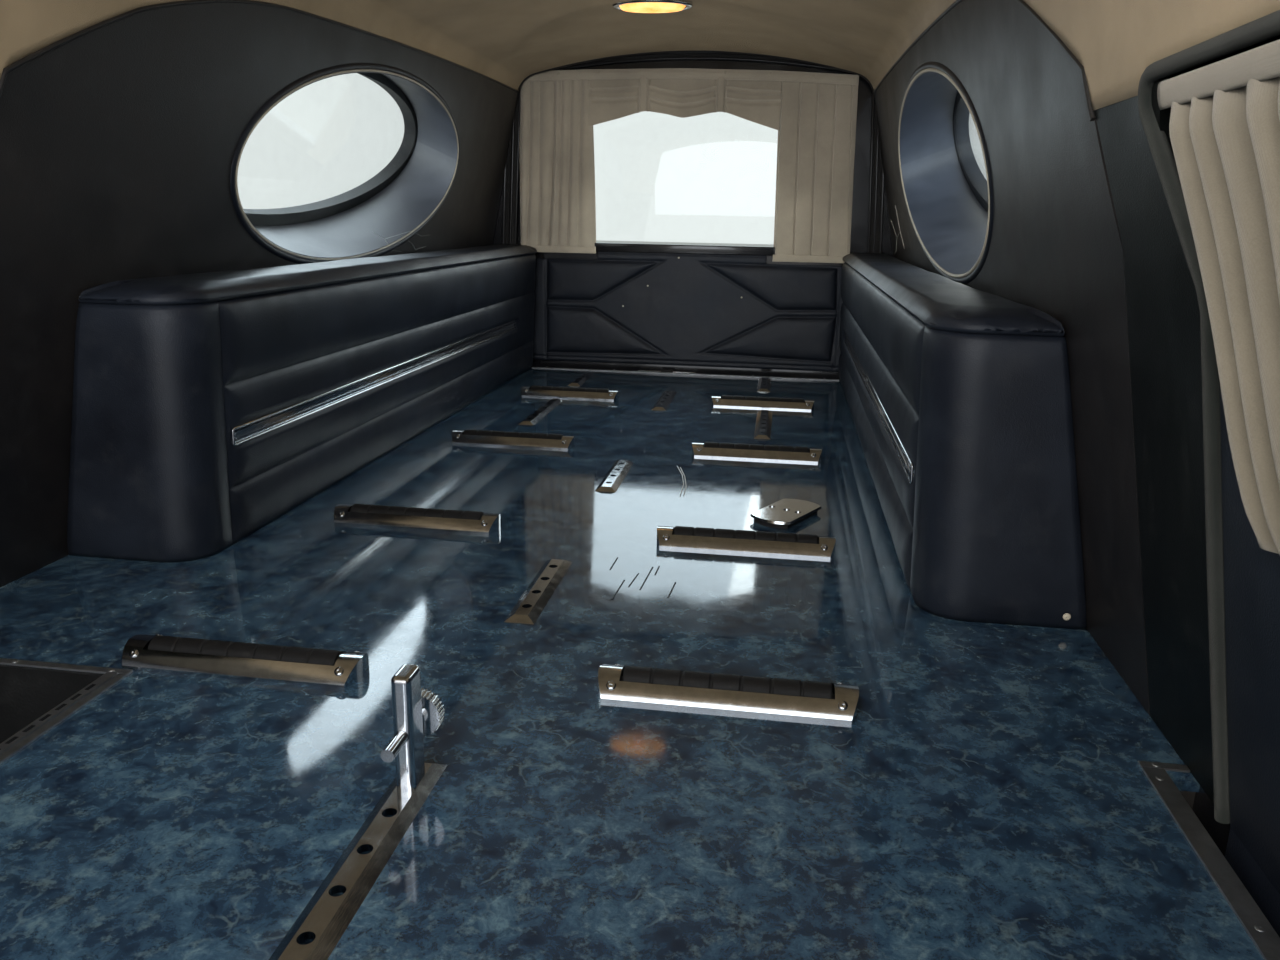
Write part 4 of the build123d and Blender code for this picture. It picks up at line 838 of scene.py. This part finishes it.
def bowed(x, table):
    """Smooth line through a table of points."""
    xs, rises = zip(*table)
    fine = np.linspace(xs[0], xs[-1], 240)
    line = np.interp(fine, xs, rises)
    pad = np.pad(line, 8, mode="edge")
    line = np.convolve(pad, np.hanning(17) / np.hanning(17).sum(), mode="valid")
    return np.interp(x, fine, line)


def valance():
    """Valance in three swags between flat pleats, with two tucks across and a scalloped foot."""
    xs = spaced(VALANCE_FOOT[0][0], VALANCE_FOOT[-1][0], 0.0026)
    x, t = np.meshgrid(xs, np.linspace(0, 1, 96))
    head = header_top(x) - BAND + 0.006
    foot = bowed(x, VALANCE_FOOT)
    z = foot + (head - foot) * t
    upper, lower = (bowed(x, line) for line in TUCK_LINES)
    first = np.clip((head - z) / (head - upper), 0, 1)
    second = np.clip((upper - z) / (upper - lower), 0, 1)
    third = np.clip((lower - z) / (lower - foot), 0, 1)
    depth = np.where(z > upper, 0.30 + 0.70 * first ** 1.5, 0.0)
    depth = np.where((z <= upper) & (z > lower), ease((upper - z - 0.005) / 0.012) * (0.45 + 0.50 * second), depth)
    depth = np.where(z <= lower, ease((lower - z - 0.005) / 0.012) * (0.35 + 0.40 * third), depth)
    pleat = np.zeros(x.shape)
    for low, high in BOX_PLEATS:
        pleat = np.maximum(pleat, ease((x - low + 0.0015) / 0.003) * ease((high + 0.0015 - x) / 0.003))
        groove = np.minimum(np.abs(x - low + 0.004), np.abs(x - high - 0.004))
        depth = depth * (1 - np.exp(-(groove / 0.0032) ** 2))
    depth = depth * (1 - pleat) + 1.12 * pleat
    y = DRAPE_Y - 0.002 - 0.0130 * depth + ripple(np.stack([x * 6, t * 1.5, t * 0], axis=-1), 3.0, 12) * 0.0010
    grid = np.stack([x, y, DECK + z], axis=-1)
    return skin("valance_swags", grid, 0.0012, "drape", "rear_door", REAR_DRAPE), cut_size(grid, 0.15)


swags, swags_cut = valance()
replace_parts(swags, "rear_valance")
dots("drape_screws",
     [((px, at(3352.6), DECK + header_top(px) - 0.010), (0, -1, 0)) for px in
      (-0.530, -0.420, -0.293, -0.160, -0.028, 0.100, 0.235, 0.365, 0.485)],
     0.0042, 0.002, "drape", "rear_door", LIGHT_PIPING)
dots("panel_buttons",
     [((px, at(3367), DECK + pz), (0, -1, 0)) for px, pz in
      ((-0.127, 0.278), (-0.208, 0.210), (-0.028, 0.370), (0.180, 0.250))],
     0.0030, 0.0016, "vinyl", "rear_door", LIGHT_PIPING)


# Side curtains

CURTAIN_FOOT, CURTAIN_HEAD, CURTAIN_FRONT = 0.290, 0.610, 130.0
CURTAIN_OUTLINE = (
    # rise, rear station
    (0.290, 906.0), (0.348, 937.0), (0.423, 962.0), (0.501, 992.0), (0.560, 1020.0), (0.610, 1050.0),
)


def side_curtain(side, name):
    """Deep-pleated curtain on a side door's window, its rear pleats following the door's edge."""
    rises = spaced(CURTAIN_FOOT, CURTAIN_HEAD, 0.007)
    rear = np.interp(rises, *zip(*CURTAIN_OUTLINE))
    rear = np.convolve(np.pad(rear, 3, mode="reflect", reflect_type="odd"), np.ones(7) / 7, mode="valid")
    shares = np.linspace(0, 1, 440)
    s, h = np.meshgrid(shares, rises)
    limit = np.repeat(rear[:, None], len(shares), axis=1)
    station = CURTAIN_FRONT + s * (limit - CURTAIN_FRONT)
    phase = 22 * s + 0.10 * np.sin(s * 40) + 0.05 * np.sin(h * 30 + s * 20)
    depth = (0.5 - 0.5 * np.cos(2 * math.pi * phase)) ** 0.7
    t = (h - CURTAIN_FOOT) / (CURTAIN_HEAD - CURTAIN_FOOT)
    depth = depth * (0.25 + 0.75 * ease((1 - t) / 0.14)) * (0.75 + 0.25 * ease(t / 0.08))
    inward = 0.005 + 0.016 * depth + ripple(np.stack([s * 12, h * 5, s * 0], axis=-1), 1.0, 5) * 0.0012
    x = (WALL_FOOT - WALL_LEAN * h - inward) * side
    grid = np.stack([x, FRONT + station / 1000, DECK + h], axis=-1)
    if side < 0:
        grid = grid[:, ::-1]
    body = "side_door_left" if side > 0 else "side_door_right"
    made = skin(name, grid[:, ::-1], 0.0012, "drape", body)
    yy, hh = np.meshgrid(spaced(CURTAIN_FRONT / 1000, 1.046, 0.008), np.linspace(-0.010, 0.010, 9))
    puff = 0.0025 * np.sqrt(np.clip(1 - (hh / 0.0105) ** 2, 0, 1))
    z = CURTAIN_HEAD - 0.010 + hh
    band = np.stack([(WALL_FOOT - WALL_LEAN * z - 0.011 - puff) * side, FRONT + yy, DECK + z], axis=-1)
    if side < 0:
        band = band[:, ::-1]
    hem = skin(name + "_heading", band[:, ::-1], 0.002, "drape", body)
    return made


for side, tag in ((1, "left"), (-1, "right")):
    curtain = side_curtain(side, f"door_curtain_{tag}")
    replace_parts(curtain, f"side_curtain_{tag}")


# Piping and beads

OVAL_TILT = math.radians(4.5)
OVAL_HALF = (0.5452, 0.192)


def oval_path(side, grow, lift, low=0.0, high=2 * math.pi, count=120):
    """Points round the oval's rim on the lining, lifted off it."""
    slope = math.hypot(1, WALL_LEAN)
    path = []
    for a in np.linspace(low, high, count):
        u = (OVAL_HALF[0] + grow) * math.cos(a)
        v = (OVAL_HALF[1] + grow) * math.sin(a)
        along = u * math.cos(OVAL_TILT) - v * math.sin(OVAL_TILT)
        up = (u * math.sin(OVAL_TILT) + v * math.cos(OVAL_TILT)) / slope
        h = 0.595 + up
        path.append(((WALL_FOOT - WALL_LEAN * h - lift) * side, at(2319.2) + along, DECK + h))
    return path


for tag, side, width in (("left", 1, 0.0034), ("right", -1, 0.0024)):
    tube(f"oval_piping_{tag}", oval_path(side, 0.004, 0.001), width, "vinyl", material=LIGHT_PIPING)
    tube(f"oval_roll_{tag}", oval_path(side, 0.013, -0.0035), 0.0075, "vinyl")

HINGE_X, HINGE_Y = 0.965, at(95)
DOOR_HEAD = 0.620
BEAD = 0.0070


def door_radius(rise):
    """Reach of the door opening's rear edge from the hinge line."""
    return np.interp(rise, (-0.25, 0.45, DOOR_HEAD), (0.930, 0.955, 1.088))


def bead_path(side):
    """Path of the windlace round a side door opening."""
    path = []
    for rise in np.linspace(0.0, 0.594, 36):
        x = lining_x(DECK + rise, 0.001)
        reach = door_radius(rise) + 0.004
        path.append((x * side, HINGE_Y + math.sqrt(reach ** 2 - (HINGE_X - x) ** 2), DECK + rise))
    top = DOOR_HEAD + 0.003
    corner_y = path[-1][1]
    for a in np.linspace(0, math.pi / 2, 8)[1:]:
        rise = 0.594 + (top - 0.594) * math.sin(a)
        x = lining_x(DECK + rise, 0.001)
        path.append((x * side, corner_y + 0.010 * math.sin(a) - 0.030 * (1 - math.cos(a)), DECK + rise))
    for y in np.linspace(path[-1][1] - 0.02, at(60), 50):
        x = lining_x(DECK + top, 0.001)
        path.append((x * side, y, DECK + top))
    return path


for side, tag in ((1, "left"), (-1, "right")):
    tube(f"windlace_{tag}", bead_path(side), BEAD, "black_rubber", material=FLOCK, sides=12)


def arc_points(first, middle, last, count):
    """Points on the arc through three points, without its last one."""
    (ax, ay), (bx, by), (cx, cy) = first, middle, last
    d = 2 * (ax * (by - cy) + bx * (cy - ay) + cx * (ay - by))
    ux = ((ax ** 2 + ay ** 2) * (by - cy) + (bx ** 2 + by ** 2) * (cy - ay) + (cx ** 2 + cy ** 2) * (ay - by)) / d
    uy = ((ax ** 2 + ay ** 2) * (cx - bx) + (bx ** 2 + by ** 2) * (ax - cx) + (cx ** 2 + cy ** 2) * (bx - ax)) / d
    radius = math.hypot(ax - ux, ay - uy)
    turns = [math.atan2(y - uy, x - ux) for x, y in (first, middle, last)]
    sweep = (turns[2] - turns[0] + math.pi) % (2 * math.pi) - math.pi
    return [(ux + radius * math.cos(turns[0] + sweep * s), uy + radius * math.sin(turns[0] + sweep * s))
            for s in np.linspace(0, 1, count, endpoint=False)]


BAY_FRONT, BAY = 1190, 2155
BOARD_EDGE = (
    # distance behind the bay's front and rise, as arcs through three points each
    (0, 480), (50, 575), (80, 650), (180, 700), (310, 757), (500, 805), (760, 835), (1410, 859), (2150, 866),
)
edge_points = []
for k in range(0, len(BOARD_EDGE) - 2, 2):
    edge_points += arc_points(*BOARD_EDGE[k:k + 3], 40)
edge_points = np.array(edge_points + [BOARD_EDGE[-1]]) / 1000


def board_rise(y):
    """Rise of the quarter board's edge at a place along the wall."""
    return np.interp(y, at(BAY_FRONT) + edge_points[:, 0], edge_points[:, 1])


for side, tag in ((1, "left"), (-1, "right")):
    path = [(lining_x(DECK + r, 0.001) * side, at(BAY_FRONT) + s, DECK + r) for s, r in edge_points if r > 0.60]
    tube(f"wall_piping_{tag}", path, 0.0030, "vinyl", material=DARK_PIPING)


# Headliner

CANT, CEILING_BEND, CEILING_SHOULDER, CEILING_CROWN = (0.545, 1.235), (0.522, 1.266), (0.488, 1.283), (0.0, 1.345)
CEILING_END = at(3340)
CEILING_PANEL = (0.53, 0.77)


def ceiling_half(count):
    """Ceiling line from the cant to just short of the centre line."""
    line = arc_points(CANT, CEILING_BEND, CEILING_SHOULDER, 10)
    across = (-CEILING_SHOULDER[0], CEILING_SHOULDER[1])
    arc = arc_points(CEILING_SHOULDER, CEILING_CROWN, across, 2 * count)
    return line + arc[:count]


def headliner():
    """Cloth-covered headliner: drops beside the doors and a crowned ceiling with a raised rear panel."""
    half = ceiling_half(30)
    ceiling = half + [CEILING_CROWN] + [(-x, z) for x, z in reversed(half)]
    ys = spaced(at(0), CEILING_END, 0.0125)
    shares = np.linspace(0, 1, 14, endpoint=False)
    grid = []
    for y in ys:
        beside_door = y < at(1112)
        foot = DECK + max(DOOR_HEAD + (0.002 if beside_door else -0.010), float(board_rise(y)) + 0.001)
        heights = foot + (CANT[1] - foot) * shares
        drop = [(lining_x(z), z) for z in heights]
        row = drop + ceiling + [(-x, z) for x, z in reversed(drop)]
        grid.append([(x, y, z) for x, z in row])
    grid = np.array(grid)
    inward = normals(grid)
    x, y, z = grid[..., 0], grid[..., 1], grid[..., 2]
    over = ease((z - 1.262) / 0.02)
    reach = np.hypot(x / CEILING_PANEL[0], (at(3357) - y) / CEILING_PANEL[1])
    step = 0.007 * over * ease((reach - 0.97) / 0.045)
    sag = 0.0022 * np.sin((y - FRONT) * 2 * math.pi / 0.62) ** 2 * over
    loose = ripple(grid, 4, 7) * 0.0020 + ripple(grid, 13, 3) * 0.0007
    tight = ease((CEILING_END - y) / 0.05) * ease((z - DECK - 0.63) / 0.04)
    grid = grid + inward * (0.0012 + sag + loose * tight + step)[..., None]
    made = skin("headliner_cloth", grid, 0.004, "headlining")
    return made


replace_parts(headliner(), "headliner")
tube("ceiling_end_piping", [(x, CEILING_END - 0.002, z - 0.002) for x, z in
                            ceiling_half(30) + [CEILING_CROWN] + [(-x, z) for x, z in reversed(ceiling_half(30))]],
     0.0045, "vinyl", material=DARK_PIPING)


# Deck fittings

def bay(share):
    return at(BAY_FRONT + share * BAY)


BEZEL_X, SCREW_REACH, SCREW_SPREAD, SCREW_RISE = 0.272, 0.1225, 0.023, 0.0156
BEZELS = ((1, (-0.020, 0.212, 0.490, 0.758)), (-1, (-0.030, 0.217, 0.491, 0.766)))
screws = []
for side, shares in BEZELS:
    for share in shares:
        for end in (-1, 1):
            for across in (-1, 1):
                place = (side * BEZEL_X + end * SCREW_REACH, bay(share) + across * SCREW_SPREAD, DECK + SCREW_RISE)
                screws.append((place, (0, across * SCREW_SPREAD, 0.02717)))
dots("bezel_screws", screws, 0.0052, 0.002, "chrome")

CUT_OUT = 1079
edge_screws = [((0.685, at(s), DECK + 0.0024), (0, 0, 1)) for s in range(60, 1070, 200)]
edge_screws += [((x, at(CUT_OUT + 5), DECK + 0.0024), (0, 0, 1)) for x in (-0.66, -0.53, -0.41, 0.69)]
edge_screws += [((x, at(3337), DECK + 0.0024), (0, 0, 1)) for x in (-0.46, -0.23, 0.0, 0.23, 0.46)]
dots("edging_screws", edge_screws, 0.0038, 0.0012, "edging")
dots("box_screw", [((0.690, BOX_FRONT - 0.008, DECK + 0.020), (0, -1, 0))], 0.0050, 0.002, "chrome",
     material=LIGHT_PIPING)


def pads(name, centres, size, z, material, slot, body="compartment"):
    """Thin flat pads on a level surface, as one piece."""
    points, faces = [], []
    for cx, cy in centres:
        first = len(points)
        for dz in (0.0, 0.0004):
            points += [(cx + dx * size[0] / 2, cy + dy * size[1] / 2, z + dz)
                       for dx, dy in ((-1, -1), (1, -1), (1, 1), (-1, 1))]
        faces += [(first + 3, first + 2, first + 1, first), (first + 4, first + 5, first + 6, first + 7)]
        faces += [(first + i, first + (i + 1) % 4, first + 4 + (i + 1) % 4, first + 4 + i) for i in range(4)]
    return piece(name, points, faces, slot, body, material, smooth=False)


SLOT_PITCH, SLOT_SIZE = 0.022, (0.0042, 0.0125)
slots = [(-0.406, at(10) + SLOT_PITCH * k) for k in range(int(1.060 / SLOT_PITCH))]
# The slots are dark flat pads on the strip: painted shade standing in for the shadow inside the slots.
pads("edging_slot_shade", slots, SLOT_SIZE, DECK + 0.0025, DARK_MARK_AND_SLOT_SHADE, "edging")


def marks(name, lines, lift, width, material, slot):
    """Fine marks: narrow flattened threads along short lines of points."""
    made = []
    for number, line in enumerate(lines, 1):
        line = np.array(line, float)
        fine = np.linspace(0, 1, 16)
        at_points = np.linspace(0, 1, len(line))
        path = np.stack([np.interp(fine, at_points, line[:, k]) for k in range(3)], axis=1) + np.array(lift)
        made.append(tube(f"{name}_{number}", path, width, slot, material=material, sides=6, flat=0.25))
    return made


def deck_at(x, y):
    """Point on the deck from its place in metres behind the camera's station."""
    return (x, y - 1.55, DECK)


marks("deck_scratch", [
    [deck_at(0.1119, 1.93), deck_at(0.130, 1.86), deck_at(0.140, 1.79), deck_at(0.142, 1.703)],
    [deck_at(0.1195, 1.92), deck_at(0.136, 1.85), deck_at(0.146, 1.78), deck_at(0.148, 1.71)],
], (0, 0, 0.0002), 0.0009, MARK_LIGHT, "laminate")
marks("deck_score", [
    [deck_at(0.0807, 1.306), deck_at(0.083, 1.36)], [deck_at(0.1032, 1.195), deck_at(0.108, 1.27)],
    [deck_at(0.1353, 1.237), deck_at(0.141, 1.33)], [deck_at(0.1771, 1.216), deck_at(0.181, 1.275)],
    [deck_at(0.1484, 1.298), deck_at(0.150, 1.335)], [deck_at(0.118, 1.245), deck_at(0.124, 1.30)],
], (0, 0, 0.0002), 0.0011, DARK_MARK_AND_SLOT_SHADE, "laminate")


def wall_at(side, y, rise):
    """Point on a lining, just off it."""
    return (lining_x(DECK + rise, 0.0006) * side, y - 1.55, DECK + rise)


WEBS = (
    # side, fine scratches as (metres behind the camera's station, rise)
    (-1, ((2.160, 0.455), (2.240, 0.436), (2.330, 0.445), (2.420, 0.420))),
    (-1, ((2.240, 0.436), (2.290, 0.408), (2.360, 0.402))),
    (-1, ((2.330, 0.445), (2.400, 0.452), (2.480, 0.438), (2.545, 0.440))),
    (-1, ((2.420, 0.420), (2.450, 0.404), (2.520, 0.410))),
    (1, ((2.790, 0.425), (2.850, 0.470), (2.900, 0.540))),
    (1, ((2.850, 0.470), (2.950, 0.452), (3.060, 0.500))),
    (1, ((2.950, 0.452), (3.020, 0.410), (3.120, 0.400))),
)
marks("wall_scratch", [[wall_at(side, y, rise) for y, rise in line] for side, line in WEBS],
      (0, 0, 0), 0.0008, MARK_LIGHT, "vinyl")

# Rear doorway

DOORWAY_HALF, DOORWAY_TOP_HALF, DOORWAY_FOOT, SILL_RISE = 0.600, 0.575, 0.110, 0.404
DOORWAY_SHOULDER, DOORWAY_CROWN, DOORWAY_CORNER = 0.945, 0.996, 0.045


def doorway_points(inward):
    """Line of the rear doorway from its left foot over its head to its right foot, moved inward."""
    half, top_half = DOORWAY_HALF - inward, DOORWAY_TOP_HALF - inward
    shoulder, crown = DECK + DOORWAY_SHOULDER - inward, DECK + DOORWAY_CROWN - inward
    corner = max(0.012, DOORWAY_CORNER - inward)
    side_line = [(half, z) for z in np.linspace(DOORWAY_FOOT + inward, DECK + SILL_RISE, 14)]
    slope = (top_half - half) / (shoulder - DECK - SILL_RISE)
    turn_z = shoulder - corner
    for z in np.linspace(DECK + SILL_RISE, turn_z, 14)[1:]:
        side_line.append((half + slope * (z - DECK - SILL_RISE), z))
    x1, z1 = side_line[-1]

    def head(x):
        return crown - (crown - shoulder) * (x / top_half) ** 2

    x2 = top_half - corner * 1.05
    bend = []
    for a in np.linspace(0, 1, 9)[1:]:
        bend.append(((1 - a) ** 2 * x1 + 2 * a * (1 - a) * top_half + a ** 2 * x2,
                     (1 - a) ** 2 * z1 + 2 * a * (1 - a) * head(top_half) + a ** 2 * head(x2)))
    across = [(x, head(x)) for x in np.linspace(x2, 0, 22)[1:]]
    left = side_line + bend + across
    return left + [(-x, z) for x, z in reversed(left[:-1])]


def lip():
    """Rubber lip that closes the gap between the doorway and the door."""
    outer, inner = np.array(doorway_points(0.0006)), np.array(doorway_points(0.029))
    grid = np.zeros((6, len(outer), 3))
    for row, share in enumerate(np.linspace(0, 1, 6)):
        line = outer + (inner - outer) * share
        grid[row, :, 0], grid[row, :, 2] = line[:, 0], line[:, 1]
        grid[row, :, 1] = at(3369.5) - 0.0035 * math.sin(math.pi * share)
    return skin("doorway_lip", grid[::-1], 0.0025, "black_rubber")


lip()
GLOSS_RUBBER = vinyl("gloss_rubber", (16, 16, 18), (30, 30, 33), 300)
GLOSS_RUBBER.set(Coat_Weight=0.8, Coat_Roughness=0.08)
for number, (inward, station, radius) in enumerate(((0.030, 3366, 0.0034), (0.014, 3362, 0.0042), (-0.004, 3343, 0.0050))):
    line = doorway_points(inward)
    tube(f"doorway_bead_{number + 1}", [(x, at(station), z) for x, z in line], radius, "black_rubber",
         material=GLOSS_RUBBER)


def bar(name, low, high, radius, slot, body="compartment", material=None):
    """A bar with rounded edges between two corners, from a rounded section drawn along its length."""
    low, high = np.array(low, float), np.array(high, float)
    size, middle = high - low, (low + high) / 2
    axis = int(np.argmax(size))
    first, second = [k for k in range(3) if k != axis]
    section = []
    for quarter in range(4):
        sign_a, sign_b = ((1, 1), (-1, 1), (-1, -1), (1, -1))[quarter]
        for step in range(5):
            turn = math.pi / 2 * (quarter + step / 4)
            section.append((sign_a * (size[first] / 2 - radius) + radius * math.cos(turn),
                            sign_b * (size[second] / 2 - radius) + radius * math.sin(turn)))
    rings = []
    for along, shrink in ((-0.5, 0.7), (-0.5 + radius / size[axis], 1.0), (0.5 - radius / size[axis], 1.0), (0.5, 0.7)):
        for a, b in section:
            point = middle.copy()
            point[axis] += along * size[axis]
            point[first] += a - np.sign(a) * radius * (1 - shrink)
            point[second] += b - np.sign(b) * radius * (1 - shrink)
            rings.append(point)
    count = len(section)
    faces = quads(4, count, closed=True) + [tuple(range(count)), tuple(3 * count + i for i in reversed(range(count)))]
    return piece(name, rings, faces, slot, body, material)


bar("window_sill", (-0.304, at(3362), DECK + 0.383), (0.278, at(3371), DECK + 0.411), 0.003, "body_paint", "rear_door")
bar("striker_bar", (-0.150, at(3348), DECK - 0.006), (0.040, at(3356), DECK + 0.003), 0.0025, "chrome")
bar("striker_pad", (-0.075, at(3346), DECK - 0.004), (-0.035, at(3360), DECK + 0.008), 0.003, "black_rubber")


# Outside trim

BELT_X, BELT_Z = 0.848, 0.795


def moulding(name, side, low, high, body):
    """Bright moulding along the belt line."""
    path = [(side * (BELT_X + 0.004), y, BELT_Z + 0.004) for y in np.linspace(low, high, 24)]
    return tube(name, path, 0.0075, "chrome", body, sides=12, flat=0.7)


def pull_handle(side, body):
    """Pull handle of a side door: a bowed bar on two feet."""
    x, z, middle, reach = 0.915, 0.730, at(905), 0.085
    path = []
    for t in np.linspace(-1, 1, 25):
        out = 0.030 * (1 - abs(t) ** 3.0)
        path.append((side * (x + out), middle + reach * t, z))
    tube(f"{body}_handle", path, 0.0085, "chrome", body, sides=12, flat=0.7)
    dots(f"{body}_lock", [((side * (x + 0.004), middle + 0.125, z - 0.004), (side, 0, 0.3))], 0.011, 0.004, "chrome",
         body)


for side, tag in ((1, "left"), (-1, "right")):
    moulding(f"belt_moulding_{tag}", side, at(1052), at(3455), "compartment")
    moulding(f"door_moulding_{tag}", side, at(112), at(1032), f"side_door_{tag}")
    pull_handle(side, f"side_door_{tag}")
    low_x, high_x = sorted((side * 0.700, side * 0.775))
    bar(f"tail_lamp_{tag}", (low_x, at(3492), 0.46), (high_x, at(3512), 0.72), 0.010, "lens", material=RED_LENS)


# Camera, lights and stage

scene = bpy.context.scene
PITCH, YAW, ROLL = 0.27047, 0.14045, 0.01903
forward = np.array([-math.sin(YAW), math.cos(YAW), 0.0])
right = np.array([math.cos(YAW), math.sin(YAW), 0.0])
up = np.array([0.0, 0.0, 1.0])
look = forward * math.cos(PITCH) - up * math.sin(PITCH)
lift = up * math.cos(PITCH) + forward * math.sin(PITCH)
x_axis = right * math.cos(ROLL) + lift * math.sin(ROLL)
y_axis = lift * math.cos(ROLL) - right * math.sin(ROLL)
camera_data = bpy.data.cameras.new("camera")
camera_data.sensor_width = 36.0
camera_data.lens = 961.0 * 36.0 / 1280.0
camera_data.clip_start = 0.02
camera = bpy.data.objects.new("camera", camera_data)
camera.matrix_world = Matrix((
    (x_axis[0], y_axis[0], -look[0], 0.3073),
    (x_axis[1], y_axis[1], -look[1], -1.55),
    (x_axis[2], y_axis[2], -look[2], 0.8653),
    (0, 0, 0, 1)))
scene.collection.objects.link(camera)
scene.camera = camera


def area(name, place, target, size, power, colour=(1.0, 1.0, 1.0), glossy=True, beam=180, diffuse=True):
    """A soft rectangular lamp that points at a target, its beam given in degrees."""
    data = bpy.data.lights.new(name, "AREA")
    data.shape = "RECTANGLE"
    data.size, data.size_y = size
    data.energy = power
    data.color = colour
    data.spread = math.radians(beam)
    lamp = bpy.data.objects.new(name, data)
    lamp.location = place
    lamp.rotation_euler = (Vector(target) - Vector(place)).to_track_quat("-Z", "Y").to_euler()
    lamp.visible_camera = False
    lamp.visible_glossy = glossy
    lamp.visible_diffuse = diffuse
    scene.collection.objects.link(lamp)
    return lamp


BLUE_SKY = (0.55, 0.75, 1.0)
SKY, PALE_SKY, WARM = (0.74, 0.86, 1.0), (0.85, 0.92, 1.0), (1.0, 0.94, 0.86)
area("key", (4.2, -3.2, 4.6), (0, 0, 0.6), (3.4, 3.4), 165)
area("fill", (-4.6, 1.2, 3.4), (0, 0, 0.6), (3.4, 3.4), 95)
area("back", (1.5, 5.2, 3.6), (0, 0.6, 0.7), (3.4, 3.4), 105)
area("front", (-0.15, -2.45, 1.16), (0, 0.6, 0.70), (0.95, 0.60), 18, WARM, glossy=False, beam=110)
area("front_glow", (0.2, -2.5, 1.30), (0, 0.6, 0.6), (1.8, 0.9), 5, PALE_SKY, beam=100, diffuse=False)
area("through_rear_window", (0.0, 2.6, 1.35), (0, 0.4, 0.5), (1.6, 1.0), 12, SKY, glossy=False, beam=90)
area("rear_window_glow", (-0.10, 2.7, 1.36), (0, 0.4, 0.5), (1.6, 1.0), 3, SKY, beam=90, diffuse=False)
area("through_oval_left", (1.6, 0.6, 1.35), (0, 0.6, 0.6), (1.6, 1.0), 14, BLUE_SKY, glossy=False, beam=90)
area("through_oval_right", (-1.6, 0.6, 1.35), (0, 0.6, 0.6), (1.6, 1.0), 10, SKY, glossy=False, beam=90)
area("along_left", (1.7, -0.7, 1.50), (-0.2, 1.6, 0.85), (0.9, 0.6), 7, WARM, glossy=False, beam=90)
area("along_right", (-1.7, -0.7, 1.50), (0.2, 1.6, 0.85), (0.9, 0.6), 15, (1.0, 0.92, 0.80), glossy=False, beam=90)
area("oval_glow", (-1.6, 2.9, 2.17), (-0.60, 0.57, 0.95), (1.7, 1.3), 10, (0.78, 0.88, 1.0), beam=90, diffuse=False)
area("ceiling", (0.0, -0.9, 1.28), (0, -0.7, 0.4), (0.5, 0.9), 9, (1.0, 0.95, 0.88), glossy=False)
area("deck_bounce", (0.0, 0.7, 0.66), (0.0, 0.7, 1.4), (0.6, 1.6), 2.2, (1.0, 0.95, 0.88), glossy=False)
area("dome", (-0.03, bay(0.673), 1.31), (-0.03, bay(0.673), 0.5), (0.14, 0.09), 1.2, (1.0, 0.78, 0.5), glossy=False)

world = bpy.data.worlds.new("studio")
world.use_nodes = True
scene.world = world
tree = world.node_tree
tree.nodes.clear()
sky = tree.nodes.new("ShaderNodeBackground")
sky.inputs["Color"].default_value = (1.0, 1.0, 1.0, 1.0)
path_node = tree.nodes.new("ShaderNodeLightPath")
seen = tree.nodes.new("ShaderNodeMath")
seen.operation = "MAXIMUM"
tree.links.new(path_node.outputs["Is Camera Ray"], seen.inputs[0])
tree.links.new(path_node.outputs["Is Glossy Ray"], seen.inputs[1])
seen_too = tree.nodes.new("ShaderNodeMath")
seen_too.operation = "MAXIMUM"
tree.links.new(seen.outputs[0], seen_too.inputs[0])
tree.links.new(path_node.outputs["Is Transmission Ray"], seen_too.inputs[1])
strength = tree.nodes.new("ShaderNodeMapRange")
strength.inputs["To Min"].default_value = 0.50
strength.inputs["To Max"].default_value = 1.0
tree.links.new(seen_too.outputs[0], strength.inputs["Value"])
tree.links.new(strength.outputs[0], sky.inputs["Strength"])
world_out = tree.nodes.new("ShaderNodeOutputWorld")
tree.links.new(sky.outputs[0], world_out.inputs["Surface"])

bpy.ops.mesh.primitive_plane_add(size=60, location=(0, 0, -0.0005))
floor = bpy.context.object
floor.name = "floor"
pale = Finish("floor")
pale.drive(Base_Color=pale.colours(pale.noise(3, 4), (0.3, srgb(226, 226, 224)), (0.7, srgb(232, 232, 230))),
           Roughness=pale.spread(pale.noise(8, 3), 0.7, 0.8))
floor.data.materials.append(pale.material)

scene.view_settings.view_transform = "Standard"
